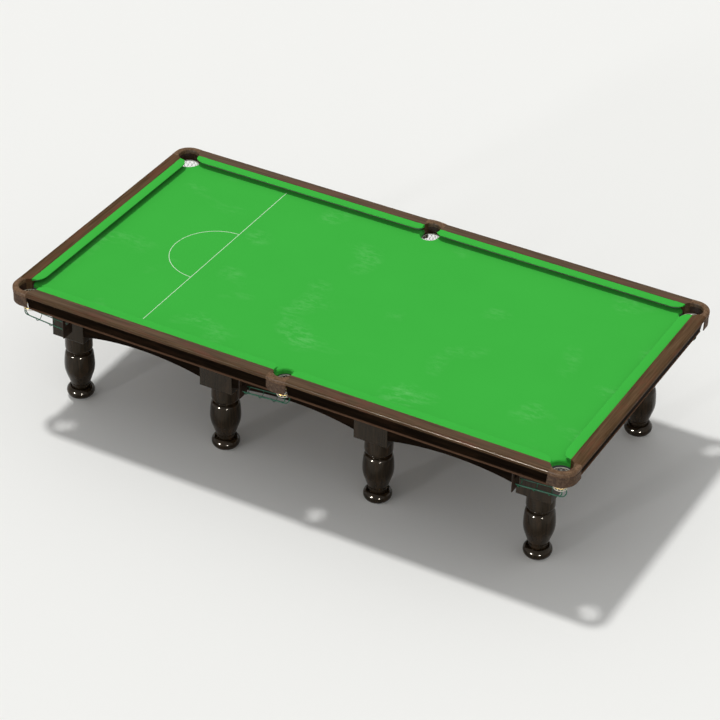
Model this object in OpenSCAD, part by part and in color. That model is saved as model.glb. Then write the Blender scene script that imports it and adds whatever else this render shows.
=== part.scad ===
// Full-size snooker table: slate bed on a framed base with eight turned legs,
// cushioned rails, leather pockets with nets and ball runners.
// Millimetres. The origin is on the floor under the middle of the bed,
// +X runs to the end away from the baulk line, +Z is up.

/* [Playing area] */
// Length between the cushion noses
play_len = 3569; // [3400:1:3640]
// Width between the cushion noses
play_wid = 1778; // [1700:1:1840]
// Height of the rail top above the floor
rail_top_h = 876; // [851:1:900]
// Height of the rail top above the cloth
rail_rise = 40; // [38:0.5:43]

/* [Slate bed] */
// Thickness of the slates
slate_t = 45; // [40:1:50]
// Gap between neighbouring slates
slate_gap = 0.2; // [0.1:0.1:0.5]
// Thickness of the bed cloth
cloth_t = 2; // [1:0.5:3]
// Rounding of the slate where a ball falls into a pocket
fall_round = 14; // [8:1:18]
// How far the cloth is turned down into a pocket
cloth_turn = 32; // [24:1:40]
// Depth that a rail's ledge presses into the cloth
cloth_press = 0.5; // [0.2:0.1:0.8]
// Distance that the pressed strip reaches past the ledge's front and ends
press_edge = 2; // [1:0.5:4]

/* [Cushions] */
// Distance from the nose to the wood of the rail
cushion_w = 64; // [58:1:66]
// Height of the nose above the cloth
nose_h = 35; // [33:0.5:36]
// Radius of the nose
nose_r = 3.5; // [2.5:0.5:4]
// Width of the rubber strip
rubber_w = 42; // [36:1:46]
// Height of the rubber's lower edge above the cloth
rubber_lift = 2.5; // [1:0.5:4]
// Thickness of the cloth and tuck strip over the rail's ledge
tuck_t = 2; // [1:0.5:3]

/* [Rails] */
// Width of the wooden rail top
rail_w = 80; // [72:1:90]
// Thickness of the overhanging cap
cap_t = 27; // [24:1:30]
// Rounding of the cap's upper edge
cap_round = 12; // [8:1:14]
// Rounding of the cap's lower edge
cap_under_round = 5; // [3:1:8]
// Depth of the rail from its top
rail_depth = 110; // [102:1:118]
// Thickness of the rail's body below the cap
rail_body_t = 34; // [30:1:36]
// Shadow gap between the cap and the blind
shadow_gap = 6; // [4:1:8]
// Thickness of the blinds that cover the rail bolts
blind_t = 12; // [10:1:13]
// Set-back of a blind's top from the cap's outer face
blind_back = 14; // [12:1:18]
// How far a blind leans in towards its foot
blind_lean = 15; // [10:1:17]
// Radius of the bead along the foot of the blinds
bead_r = 8; // [6:1:10]

/* [Pockets] */
// Inner radius of a corner pocket's leather
corner_r = 67; // [62:1:70]
// Distance of a corner pocket's centre outside each nose line
corner_set = 38; // [34:1:42]
// Radius of the fall cut in the slate at a corner
corner_fall_r = 74; // [72:1:78]
// Distance of the corner fall's centre outside each nose line
corner_fall_set = 32; // [30:1:34]
// Width of a corner pocket's mouth between the cushion noses
corner_mouth = 88; // [84:1:92]
// Radius of the cushion nose where it turns into a corner pocket
corner_jaw_r = 90; // [80:1:100]
// Inner radius of a middle pocket's leather
middle_r = 59; // [56:1:62]
// Distance of a middle pocket's centre outside the nose line
middle_set = 49; // [46:1:52]
// Radius of the fall cut in the slate at a middle pocket
middle_fall_r = 58; // [58:1:61]
// Distance of the middle fall's centre outside the nose line
middle_fall_set = 24; // [22:1:27]
// Radius of the cushion nose where it turns into a middle pocket
middle_jaw_r = 68; // [67:1:76]
// Distance from a middle pocket's centre to the start of the turned nose
middle_jaw_start = 105; // [102:1:110]

/* [Pocket leathers] */
// Thickness of the padded leather rim
rim_t = 28; // [24:1:32]
// Rounding of the rim's upper edges
rim_round = 9; // [6:1:11]
// Depth of the leather skirt from the rail top
skirt_depth = 100; // [92:1:106]
// Thickness of the leather skirt
skirt_t = 6; // [4:1:8]
// Set-back of the skirt from the rim's outer edge
skirt_back = 3; // [2:1:5]
// Depth of the pocket's inner wall from the rail top
liner_depth = 84; // [82:1:90]
// Thickness of the pocket's inner wall
liner_t = 4; // [3:1:5]
// How far a corner leather reaches past the nose lines
corner_leather_reach = 2; // [0:1:8]
// Half the length of a middle pocket's leather
middle_leather_half = 66; // [64:1:72]
// How far a middle leather bulges beyond the rails
middle_bulge = 8; // [4:1:14]
// Distance from the nose line to the inner ends of a middle leather
middle_leather_in = 90; // [84:1:96]

/* [Nets and ball runners] */
// Thickness of the net's cord
net_t = 2; // [1.5:0.5:3]
// Clearance between the net and the leather or slate
net_gap = 0.3; // [0.2:0.1:0.5]
// Depth of the net's upper edge from the rail top
net_top_depth = 76; // [74:1:78]
// Length of the net's straight upper part
net_band = 20; // [14:1:24]
// Depth of the brass ring from the rail top
ring_depth = 154; // [148:1:162]
// Radius of the brass ring, to the middle of its wire
ring_r = 37.5; // [34:0.5:40]
// Radius of the ring's wire
ring_wire_r = 3.5; // [3:0.5:4]
// Radius of the runner's rods
rod_r = 3; // [2.5:0.5:3.5]
// Half the distance between a runner's two side rods
rod_spread = 30; // [29.5:0.5:31]
// Height of the side rods above the bottom rod
rod_rise = 28; // [26:0.5:29]
// Depth of the bottom rod below the brass ring
runner_drop = 82; // [80:1:90]
// Length of a ball runner from the pocket's centre
runner_len = 275; // [240:5:300]
// Slope of the ball runners
runner_slope = 4.3; // [3:0.1:6]
// Gap between a runner's rods and the brass ring
rod_gap = 0.3; // [0.1:0.1:0.5]
// Thickness of the leather straps that end the runners
strap_t = 5; // [4:1:6]

/* [Base] */
// Distance of the corner legs' axes inside the end noses
leg_end_in = 167; // [160:1:180]
// Distance of the middle legs' axes from the table's centre, as a part of the playing length
leg_mid_share = 0.1507; // [0.146:0.0005:0.156]
// Distance of all the legs' axes inside the side noses
leg_side_in = 169; // [160:1:180]
// Width of a leg's square block
block_w = 228; // [220:2:240]
// Height of the block's underside above the floor
block_z = 480; // [460:1:500]
// Rounding of the block's lower edges
block_round = 10; // [6:1:14]
// Thickness of the side and end rails of the base
base_rail_t = 50; // [42:1:54]
// Set-back of the base rails from the blocks' outer faces
base_rail_back = 8; // [4:1:12]
// Height of the arched rails' ends above the floor
arch_end_z = 535; // [520:1:550]
// Rise of the arch at the middle of each rail
arch_rise = 48; // [30:1:60]
// Width of the bearers under the slates
bearer_w = 75; // [60:1:80]
// Depth of the cross bearers
cross_bearer_h = 150; // [130:1:160]
// Depth of the bearers along the centre line
centre_bearer_h = 100; // [80:1:120]
// Length of the rails' tenons
tenon_len = 30; // [24:1:34]
// Thickness of the rails' tenons
tenon_t = 20; // [16:1:22]
// Height of the rails' tenons
tenon_h = 100; // [80:1:110]
// Length of the bearers' stub tenons
stub_len = 15; // [12:1:18]
// Clearance round a tenon
joint_gap = 0.2; // [0.1:0.1:0.4]

/* [Turned legs] */
// Largest radius of the turned cap under the block
cap_drum_r = 88; // [84:1:92]
// Rounding of the cap's lower edge
cap_drum_round = 28; // [22:1:30]
// Height of the groove between the cap and the vase
groove_z = 348; // [340:1:356]
// Radius at the groove
groove_r = 73; // [70:1:78]
// Largest radius of the vase
vase_r = 97; // [92:1:102]
// Height of the vase's widest place
vase_z = 239; // [230:1:250]
// Radius of the neck above the bun
neck_r = 61; // [57:1:63]
// Height of the neck's upper end
neck_z = 100; // [96:1:108]
// Largest radius of the bun foot
bun_r = 89; // [85:1:92]
// Radius of the bun's bulge
bun_round = 40; // [38:0.5:41]
// Height of the bun's widest place
bun_z = 42; // [41:0.5:43]

/* [Levelling feet and bolts] */
// Radius of a levelling foot's pad
pad_r = 45; // [40:1:48]
// Thickness of the pad
pad_t = 8; // [7:1:10]
// How far the pad stands out under the bun
pad_show = 3; // [2:0.5:4]
// Radius of the levelling spindle
spindle_r = 10; // [8:0.5:12]
// Length of the levelling spindle
spindle_len = 80; // [70:1:90]
// Running clearance of the spindle in its bore
spindle_clear = 0.05; // [0.02:0.01:0.1]
// Radius of the bolts' shanks
bolt_r = 6; // [5:0.5:7]
// Radius across the corners of the bolts' heads
bolt_head_r = 11; // [10:0.5:12]
// Height of the bolts' heads
bolt_head_h = 8; // [6:0.5:8.5]
// Clearance round a bolt
bolt_clear = 0.25; // [0.2:0.05:0.5]
// Radius of the rail bolts' washers
washer_r = 15; // [13:0.5:18]
// Thickness of the rail bolts' washers
washer_t = 3; // [2:0.5:3.5]
// Depth of a rail bolt in the slate
bolt_in_slate = 50; // [40:1:60]
// Distance of the outer rail bolts from a rail's ends
bolt_end_in = 230; // [200:5:245]

/* [Hidden] */

$fn = 64;

// Half length and half width of the playing area
hl = play_len / 2;
hw = play_wid / 2;
// Levels above the floor
cloth_z = rail_top_h - rail_rise;
slate_z = cloth_z - cloth_t;
base_z = slate_z - slate_t;
// Outward distances from the nose line, across a rail
outer_d = cushion_w + rail_w;
body_d = cushion_w + rail_body_t;
blind_top_d = outer_d - blind_back;
blind_foot_d = blind_top_d - blind_lean;
// Depths below the rail top
blind_top_h = cap_t + shadow_gap;
blind_lip = 10;
// Overlap of the blind's top with the wood above it
blind_seat = 2;
bead_out = 2.5;
bead_h = rail_depth + bead_r;
bead_d = blind_foot_d + bead_out - bead_r;
// Slates: five across the length
slate_count = 5;
slate_len = (play_len + 2 * cushion_w) / slate_count;
// Start of the turned nose before a corner, from the width of the mouth
corner_jaw_start = (corner_mouth + 2 * corner_jaw_r) / sqrt(2) - corner_jaw_r;
// Legs
leg_end_x = hl - leg_end_in;
leg_y = hw - leg_side_in;
leg_mid_x = round(play_len * leg_mid_share);
leg_xs = [-leg_end_x, -leg_mid_x, leg_mid_x, leg_end_x];
half_block = block_w / 2;
block_x_in = leg_end_x - half_block;
block_y_in = leg_y - half_block;
// Middle planes of the base rails
side_rail_y = leg_y + half_block - base_rail_back - base_rail_t / 2;
end_rail_x = leg_end_x + half_block - base_rail_back - base_rail_t / 2;
tenon_z = (arch_end_z + base_z) / 2;
// The end rails' bolts pass under the side rails' bolts
frame_bolt_z = tenon_z + tenon_h / 5;
end_bolt_z = tenon_z - tenon_h / 5;
rail_bolt_z = base_z + slate_t / 2;
ring_z = rail_top_h - ring_depth;
net_top_z = rail_top_h - net_top_depth;
middle_ring_set = (middle_set + middle_fall_set) / 2 + 7;
// Long enough to cut right through anything
far = 400;

function arc(cx, cy, r, a0, a1, n = 12) =
    [for (i = [0:n]) let (a = a0 + (a1 - a0) * i / n) [cx + r * cos(a), cy + r * sin(a)]];

// Outward distance of a blind's inner face at a depth below the rail top
function blind_in(h) =
    blind_top_d - blind_t - blind_lean * (h - blind_top_h) / (rail_depth - blind_top_h);

// Mirrors a piece made for the near right half to the half rail or end rail i
module at_rail(i) {
    mirror([(i == 1 || i >= 5) ? 1 : 0, 0, 0])
        mirror([0, (i == 4 || i == 5) ? 1 : 0, 0])
            children();
}

// Mirrors a piece made for the near side or its right corner to pocket i
module at_pocket(i) {
    mirror([(i == 1 || i == 6) ? 1 : 0, 0, 0])
        mirror([0, i > 3 ? 1 : 0, 0])
            children();
}

// A section in (outward distance, height) along the near side, from x0 to x1
module side_bar(x0, x1) {
    translate([x0, 0, 0])
        rotate([90, 0, 90])
            linear_extrude(x1 - x0)
                translate([-hw, 0])
                    mirror([1, 0])
                        children();
}

// The same section along the right end, from y0 to y1
module end_bar(y0, y1) {
    translate([0, y1, 0])
        rotate([90, 0, 0])
            linear_extrude(y1 - y0)
                translate([hl, 0])
                    children();
}

// Places a piece on a pocket's upright axis, set outside the nose lines
module corner_axis(set) {
    translate([hl + set, -hw - set, 0])
        children();
}

module middle_axis(set) {
    translate([0, -hw - set, 0])
        children();
}

// Round cutter from the floor to above the rails
module tall_cylinder(r) {
    cylinder(r = r, h = rail_top_h + 10);
}

module pocket_cuts() {
    corner_axis(corner_set)
        tall_cylinder(corner_r);
    mirror([0, 1, 0])
        corner_axis(corner_set)
            tall_cylinder(corner_r);
    middle_axis(middle_set)
        tall_cylinder(middle_r);
}

// Slate bed

// Section of a fall's flare, from its axis out, standing on the start of the rounding
module flare_section(r) {
    difference() {
        square([r + fall_round, fall_round + 1]);
        translate([r + fall_round, 0])
            circle(fall_round);
    }
}

// The hole that a pocket takes out of the slate, flared at its top
module fall_cut(r) {
    translate([0, 0, base_z - 1])
        cylinder(r = r, h = slate_t + 2);
    translate([0, 0, slate_z - fall_round])
        rotate_extrude()
            flare_section(r);
}

// Draws a section on both sides of a middle fall's throat, out past the edge of the slate
module throat_bar() {
    rotate([90, 0, 0])
        linear_extrude(cushion_w - middle_fall_set + 1)
            for (m = [0, 1])
                mirror([m, 0])
                    children();
}

// A middle fall runs straight out to the edge of the slate
module middle_fall_cut() {
    fall_cut(middle_fall_r);
    throat_bar()
        translate([0, base_z - 1])
            square([middle_fall_r, slate_t + 2]);
    throat_bar()
        translate([0, slate_z - fall_round])
            flare_section(middle_fall_r);
}

// Cuts for the near side's pockets, repeated on the far side
module all_falls() {
    for (sx = [0, 1], sy = [0, 1])
        mirror([sx, 0, 0])
            mirror([0, sy, 0]) {
                corner_axis(corner_fall_set)
                    children(0);
                if (sx == 0)
                    middle_axis(middle_fall_set)
                        children(1);
            }
}

// Rail bolt positions: distance along a rail of one half side or one end
side_rail_start = middle_leather_half;
side_rail_end = hl - corner_leather_reach;
end_rail_half = hw - corner_leather_reach;
side_bolt_xs = [
    side_rail_start + bolt_end_in,
    (side_rail_start + side_rail_end) / 2,
    side_rail_end - bolt_end_in
];
end_bolt_ys = [-end_rail_half + bolt_end_in, 0, end_rail_half - bolt_end_in];

// Places a rail bolt at each position, pointing in from the near side or from the right end
module side_bolts() {
    for (x = side_bolt_xs)
        translate([x, -hw - body_d, rail_bolt_z])
            rotate([-90, 0, 0])
                children();
}

module end_bolts() {
    for (y = end_bolt_ys)
        translate([hl + body_d, y, rail_bolt_z])
            rotate([0, -90, 0])
                children();
}

// Clearance hole of a rail bolt, through the rail and into the slate
module rail_bolt_hole() {
    translate([0, 0, -1])
        cylinder(r = bolt_r + bolt_clear, h = rail_body_t + bolt_in_slate + 3);
}

module slate(i) {
    x0 = (i - 1 - slate_count / 2) * slate_len;
    color("dimgray")
        difference() {
            translate([x0 + slate_gap / 2, -hw - cushion_w, base_z])
                cube([slate_len - slate_gap, play_wid + 2 * cushion_w, slate_t]);
            all_falls() {
                fall_cut(corner_fall_r);
                middle_fall_cut();
            }
            for (sx = [0, 1], sy = [0, 1])
                mirror([sx, 0, 0])
                    mirror([0, sy, 0])
                        side_bolts()
                            rail_bolt_hole();
            for (sx = [0, 1])
                mirror([sx, 0, 0])
                    end_bolts()
                        rail_bolt_hole();
        }
}

// Section of the cloth's bend over the slate at a fall and of its turned-down edge
module cloth_section(r) {
    translate([0, slate_z - fall_round]) {
        intersection() {
            difference() {
                translate([r + fall_round, 0])
                    circle(fall_round + cloth_t);
                translate([r + fall_round, 0])
                    circle(fall_round);
            }
            square([r + fall_round, fall_round + cloth_t]);
        }
        translate([r - cloth_t, fall_round - cloth_turn])
            square([cloth_t, cloth_turn - fall_round]);
    }
}

module middle_cloth_fall() {
    rotate_extrude(angle = 180)
        cloth_section(middle_fall_r);
    throat_bar()
        cloth_section(middle_fall_r);
}

// What a rail's ledge presses out of the cloth, in (outward distance, height above the floor)
module press_section() {
    translate([rubber_w - press_edge, cloth_z - cloth_press])
        square([cushion_w - rubber_w + press_edge + 1, cloth_press + 1]);
}

module bed_cloth() {
    color("limegreen") {
        difference() {
            translate([-hl - cushion_w, -hw - cushion_w, slate_z])
                cube([play_len + 2 * cushion_w, play_wid + 2 * cushion_w, cloth_t]);
            for (i = [1:6])
                at_rail(i)
                    if (i == 3 || i == 6)
                        end_bar(corner_jaw_start - hw - press_edge, hw - corner_jaw_start + press_edge)
                            press_section();
                    else
                        side_bar(middle_jaw_start - press_edge, hl - corner_jaw_start + press_edge)
                            press_section();
            all_falls() {
                tall_cylinder(corner_fall_r + fall_round);
                union() {
                    tall_cylinder(middle_fall_r + fall_round);
                    throat_bar()
                        square([middle_fall_r + fall_round, rail_top_h]);
                }
            }
        }
        intersection() {
            all_falls() {
                rotate_extrude()
                    cloth_section(corner_fall_r);
                middle_cloth_fall();
            }
            translate([-hl - cushion_w, -hw - cushion_w, 0])
                cube([play_len + 2 * cushion_w, play_wid + 2 * cushion_w, rail_top_h]);
        }
    }
}

// Base frame

// Turned part of a leg, from the bun's underside to the block
module leg_turning() {
    vase_top_r = groove_r + 8;
    vase_top_z = groove_z - 5;
    upper_bow = ((vase_r - vase_top_r) ^ 2 + (vase_top_z - vase_z) ^ 2) / (2 * (vase_r - vase_top_r));
    upper_angle = asin((vase_top_z - vase_z) / upper_bow);
    lower_bow = 200;
    lower_angle = 17;
    rotate_extrude()
        polygon(concat(
            [[0, pad_show]],
            arc(bun_r - bun_round, bun_z, bun_round, -asin((bun_z - pad_show) / bun_round), 58, 24),
            arc(neck_r + 5, bun_z + 27, 5, 60, 180, 6),
            [[neck_r, neck_z - 6]],
            arc(neck_r + 16, neck_z, 15, 180, 163, 3),
            arc(vase_r - lower_bow, vase_z, lower_bow, -lower_angle, 0, 12),
            arc(vase_r - upper_bow, vase_z, upper_bow, 2, upper_angle, 12),
            [[groove_r, vase_top_z + 3], [groove_r, groove_z + 2]],
            arc(cap_drum_r - cap_drum_round, groove_z + 5 + cap_drum_round * sin(62),
                cap_drum_round, -62, 0, 10),
            [[cap_drum_r, block_z + 1], [0, block_z + 1]]
        ));
}

// Square outline with its two lower corners rounded, in (width, height)
module block_outline() {
    translate([-half_block, block_z + block_round])
        square([block_w, base_z - block_z - block_round]);
    translate([-half_block + block_round, block_z])
        square([block_w - 2 * block_round, block_round + 1]);
    for (s = [-1, 1])
        translate([s * (half_block - block_round), block_z + block_round])
            circle(block_round);
}

module leg_block() {
    intersection() {
        translate([0, half_block, 0])
            rotate([90, 0, 0])
                linear_extrude(block_w)
                    block_outline();
        translate([-half_block, 0, 0])
            rotate([90, 0, 90])
                linear_extrude(block_w)
                    block_outline();
    }
}

// Recess for the pad and bore for the spindle, in the bottom of a leg
module foot_recess() {
    recess_gap = 1;
    bore_spare = 2;
    translate([0, 0, -1])
        cylinder(r = pad_r + recess_gap, h = pad_t + 1);
    cylinder(r = spindle_r + spindle_clear, h = pad_t + spindle_len + bore_spare);
}

// Mortise whose mouth is at the origin and faces +X; it is tenon_t wide in Y
module mortise(len, t, h) {
    translate([-len - joint_gap, -t / 2 - joint_gap, -h / 2 - joint_gap])
        cube([len + joint_gap + 1, t + 2 * joint_gap, h + 2 * joint_gap]);
}

// Shank hole of a frame bolt: head at the origin, shank towards -Y
module frame_bolt_hole() {
    rotate([90, 0, 0])
        translate([0, 0, -1])
            cylinder(r = bolt_r + bolt_clear, h = frame_bolt_len + 2);
}

// A frame bolt runs from the block's inner face into the middle of the tenon
frame_bolt_len = side_rail_y - block_y_in + tenon_t / 4;

// One leg on its own axis. A side rail enters its +X face, and its -X face if both is true;
// an end rail enters the +Y face if corner is true.
module leg(both, corner) {
    rail_off = half_block - base_rail_back - base_rail_t / 2;
    color("#2a231c")
        difference() {
            union() {
                leg_turning();
                leg_block();
            }
            foot_recess();
            for (m = both ? [0, 1] : [0])
                mirror([m, 0, 0]) {
                    translate([half_block, -rail_off, tenon_z])
                        mortise(tenon_len, tenon_t, tenon_h);
                    translate([half_block - tenon_len / 2, half_block, frame_bolt_z])
                        frame_bolt_hole();
                }
            if (corner) {
                translate([-rail_off, half_block, tenon_z])
                    rotate([0, 0, 90])
                        mortise(tenon_len, tenon_t, tenon_h);
                translate([half_block, half_block - tenon_len / 2, end_bolt_z])
                    rotate([0, 0, -90])
                        frame_bolt_hole();
            }
        }
}

// Leg i stands on the near side for 1 to 4 and on the far side for 5 to 8, both from -X to +X
module placed_leg(i) {
    col = (i - 1) % 4;
    translate([leg_xs[col], (i > 4 ? 1 : -1) * leg_y, 0])
        mirror([0, i > 4 ? 1 : 0, 0])
            mirror([col > 1 ? 1 : 0, 0, 0])
                leg(col == 1 || col == 2, col == 0 || col == 3);
}

// Arched rail along X, centred, with a tenon at each end; its length is between the blocks
module arched_rail(len) {
    half = len / 2;
    arch_r = (half ^ 2 + arch_rise ^ 2) / (2 * arch_rise);
    rotate([90, 0, 0])
        translate([0, 0, -base_rail_t / 2])
            linear_extrude(base_rail_t)
                difference() {
                    translate([-half, arch_end_z])
                        square([len, base_z - arch_end_z]);
                    translate([0, arch_end_z + arch_rise - arch_r])
                        circle(arch_r, $fn = 360);
                }
    for (s = [-1, 1])
        translate([s * (half + tenon_len / 2 - 1), 0, tenon_z])
            cube([tenon_len + 2, tenon_t, tenon_h], center = true);
}

// Hole in a tenon for the end of a frame bolt that comes from +Y
module tenon_bolt_hole(x, z) {
    translate([x, tenon_t, z])
        rotate([90, 0, 0])
            cylinder(r = bolt_r + bolt_clear, h = 1.25 * tenon_t + 1);
}

// Pocket in a side rail for a cross bearer's stub tenon
module bearer_mortise(x) {
    translate([x, base_rail_t / 2, base_z - cross_bearer_h / 2])
        rotate([0, 0, 90])
            mortise(stub_len, bearer_w * 0.6, cross_bearer_h * 0.7);
}

slate_joint_in = slate_len / 2;
slate_joint_out = slate_len * 1.5;

// Side rail i: 1 to 3 on the near side, 4 to 6 on the far side, both from -X to +X
module side_rail(i) {
    col = (i - 1) % 3;
    x0 = leg_xs[col] + half_block;
    x1 = leg_xs[col + 1] - half_block;
    mid = (x0 + x1) / 2;
    half = (x1 - x0) / 2;
    joints = col == 0 ? [-slate_joint_out] : col == 1 ? [-slate_joint_in, slate_joint_in] : [slate_joint_out];
    color("#2c241c")
        mirror([0, i > 3 ? 1 : 0, 0])
            translate([mid, -side_rail_y, 0])
                difference() {
                    arched_rail(x1 - x0);
                    for (s = [-1, 1])
                        tenon_bolt_hole(s * (half + tenon_len / 2), frame_bolt_z);
                    for (x = joints)
                        bearer_mortise(x - mid);
                }
}

// End rail 1 is at the baulk end, 2 at the other end
module end_rail(i) {
    len = 2 * block_y_in;
    color("#2c241c")
        mirror([i == 1 ? 1 : 0, 0, 0])
            translate([end_rail_x, 0, 0])
                rotate([0, 0, 90])
                    difference() {
                        arched_rail(len);
                        for (s = [-1, 1])
                            tenon_bolt_hole(s * (len / 2 + tenon_len / 2), end_bolt_z);
                        translate([0, base_rail_t / 2, base_z - centre_bearer_h / 2])
                            rotate([0, 0, 90])
                                mortise(stub_len, bearer_w * 0.6, centre_bearer_h * 0.7);
                    }
}

// Bar along X with a stub tenon at each end, its top at the slates
module bearer(len, h) {
    translate([-len / 2, -bearer_w / 2, base_z - h])
        cube([len, bearer_w, h]);
    translate([0, 0, base_z - h / 2])
        cube([len + 2 * stub_len, bearer_w * 0.6, h * 0.7], center = true);
}

module bearers() {
    cross_len = 2 * (side_rail_y - base_rail_t / 2) - 2 * joint_gap;
    joints = [-slate_joint_out, -slate_joint_in, slate_joint_in, slate_joint_out];
    end_face = end_rail_x - base_rail_t / 2;
    // Faces between which the centre bearers lie, in pairs from -X to +X
    faces = concat([-end_face], [for (x = joints) each [x - bearer_w / 2, x + bearer_w / 2]], [end_face]);
    color("burlywood") {
        difference() {
            for (x = joints)
                translate([x, 0, 0])
                    rotate([0, 0, 90])
                        bearer(cross_len, cross_bearer_h);
            for (x = joints, s = [0, 1])
                translate([x, 0, base_z - centre_bearer_h / 2])
                    mirror([s, 0, 0])
                        translate([bearer_w / 2, 0, 0])
                            mortise(stub_len, bearer_w * 0.6, centre_bearer_h * 0.7);
        }
        for (k = [0:4])
            translate([(faces[2 * k] + faces[2 * k + 1]) / 2, 0, 0])
                bearer(faces[2 * k + 1] - faces[2 * k] - 2 * joint_gap, centre_bearer_h);
    }
}

// Cushion rails

// Section of the wooden rail, in (outward distance, height above the floor)
module rail_section() {
    translate([0, rail_top_h]) {
        polygon(concat(
            [[cushion_w, 0]],
            arc(outer_d - cap_round, -cap_round, cap_round, 90, 0, 10),
            arc(outer_d - cap_under_round, cap_under_round - cap_t, cap_under_round, 0, -90, 6),
            [
                [blind_top_d - blind_t + blind_seat, -cap_t],
                [blind_top_d - blind_t + blind_seat, -blind_top_h],
                [body_d, -blind_top_h],
                [body_d, blind_lip - rail_depth],
                [blind_in(rail_depth - blind_lip), blind_lip - rail_depth],
                [blind_in(rail_depth), -rail_depth],
                [cushion_w, -rail_depth]
            ]
        ));
        // Ledge over the slate that backs the rubber
        polygon([
            [cushion_w + 1, -rail_rise - cloth_press],
            [rubber_w, -rail_rise - cloth_press],
            [rubber_w, -2 * tuck_t],
            [cushion_w + 1, -tuck_t]
        ]);
    }
}

// Section of the rubber and cloth; the ledge is left out where the nose turns
module cushion_section(ledge) {
    back = ledge
        ? [[rubber_w, rail_rise - 2 * tuck_t], [cushion_w, rail_rise - tuck_t]]
        : [[cushion_w, rubber_lift]];
    translate([0, cloth_z])
        polygon(concat([[cushion_w, rail_rise]], arc(nose_r, nose_h, nose_r, 95, 220, 12),
            [[rubber_w, rubber_lift]], back));
}

// The nose's turn into a pocket: a revolved section on an upright axis at the origin
module jaw(r) {
    rotate_extrude()
        intersection() {
            translate([r, 0])
                mirror([1, 0])
                    cushion_section(false);
            translate([0, cloth_z])
                square([r, rail_rise]);
        }
}

// Keeps what lies behind the nose and in front of the wood, from x0 to x1 on the near side
module side_slab(x0, x1, d1) {
    translate([x0, -hw - d1, slate_z])
        cube([x1 - x0, d1, rail_rise + cloth_t + 1]);
}

module half_cushion() {
    side_bar(middle_jaw_start, hl - corner_jaw_start)
        cushion_section(true);
    intersection() {
        translate([middle_jaw_start, -hw - middle_jaw_r, 0])
            jaw(middle_jaw_r);
        side_slab(0, middle_jaw_start, cushion_w);
    }
    intersection() {
        translate([hl - corner_jaw_start, -hw - corner_jaw_r, 0])
            jaw(corner_jaw_r);
        side_slab(hl - corner_jaw_start, hl + outer_d, cushion_w);
    }
}

module end_cushion() {
    end_bar(corner_jaw_start - hw, hw - corner_jaw_start)
        cushion_section(true);
    for (s = [0, 1])
        mirror([0, s, 0])
            intersection() {
                translate([hl + corner_jaw_r, corner_jaw_start - hw, 0])
                    jaw(corner_jaw_r);
                translate([hl, -hw - outer_d, slate_z])
                    cube([cushion_w, outer_d + corner_jaw_start, rail_rise + cloth_t + 1]);
            }
}

module cushion(i) {
    color("limegreen")
        at_rail(i)
            difference() {
                if (i == 3 || i == 6)
                    end_cushion();
                else
                    half_cushion();
                pocket_cuts();
            }
}

// Takes the rail's ledge away where the rubber turns into a pocket
module half_ledge_cuts() {
    side_slab(0, middle_jaw_start, cushion_w);
    side_slab(hl - corner_jaw_start, hl + outer_d, cushion_w);
}

module end_ledge_cuts() {
    for (s = [0, 1])
        mirror([0, s, 0])
            translate([hl, -hw - outer_d, slate_z])
                cube([cushion_w, outer_d + corner_jaw_start, rail_rise + cloth_t + 1]);
}

// The side rails' ends curve round a middle pocket as far out as the leather starts
middle_wood_start = middle_r / 2;

module middle_leather_seat() {
    translate([-middle_leather_half, -hw - outer_d - 1, 0])
        cube([2 * middle_leather_half, outer_d + 1 - middle_leather_in, rail_top_h + 1]);
}

module cushion_rail(i) {
    color("#5c4634")
        at_rail(i)
            difference() {
                if (i == 3 || i == 6)
                    end_bar(-end_rail_half, end_rail_half)
                        rail_section();
                else
                    side_bar(middle_wood_start, side_rail_end)
                        rail_section();
                if (i == 3 || i == 6)
                    end_ledge_cuts();
                else {
                    half_ledge_cuts();
                    middle_leather_seat();
                }
                pocket_cuts();
                if (i == 3 || i == 6)
                    end_bolts()
                        rail_bolt_hole();
                else
                    side_bolts()
                        rail_bolt_hole();
            }
}

// Leaning board with a bead along its foot
module blind_section() {
    translate([0, rail_top_h]) {
        polygon([
            [blind_top_d - blind_t, -blind_top_h],
            [blind_top_d, -blind_top_h],
            [blind_foot_d, -rail_depth],
            [blind_foot_d, -rail_depth - 1],
            [blind_in(rail_depth), -rail_depth - 1],
            [blind_in(rail_depth), -rail_depth]
        ]);
        translate([bead_d, -bead_h])
            circle(bead_r);
        translate([body_d, -rail_depth - 2 * bead_r])
            square([bead_d - body_d, 2 * bead_r]);
    }
}

module rail_blinds() {
    color("#241c15")
        for (i = [1:6])
            at_rail(i)
                if (i == 3 || i == 6)
                    end_bar(-end_rail_half, end_rail_half)
                        blind_section();
                else
                    side_bar(side_rail_start, side_rail_end)
                        blind_section();
}

// Pocket leathers

// Solid of revolution, flat at the foot and rounded at its upper outer edge
module rounded_drum_section(r, z0, z1, round) {
    translate([0, z0])
        square([r, z1 - z0 - round]);
    translate([0, z1 - round - 1])
        square([r - round, round + 1]);
    translate([r - round, z1 - round])
        circle(round);
}

// Body of a corner leather between z0 and z1, drawn in by back from the rails' outer face
module corner_body(back, z0, z1, round) {
    reach = outer_d - corner_set - back;
    arm = corner_set + corner_leather_reach;
    corner_axis(corner_set) {
        rotate([0, 0, -90])
            rotate_extrude(angle = 90)
                intersection() {
                    rounded_drum_section(reach, z0, z1, round);
                    square([far, rail_top_h + 1]);
                }
        translate([-arm, 0, 0])
            rotate([90, 0, 90])
                linear_extrude(arm)
                    mirror([1, 0])
                        intersection() {
                            rounded_drum_section(reach, z0, z1, round);
                            square([far, rail_top_h + 1]);
                        }
        translate([0, arm, 0])
            rotate([90, 0, 0])
                linear_extrude(arm)
                    intersection() {
                        rounded_drum_section(reach, z0, z1, round);
                        square([far, rail_top_h + 1]);
                    }
    }
}

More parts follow.
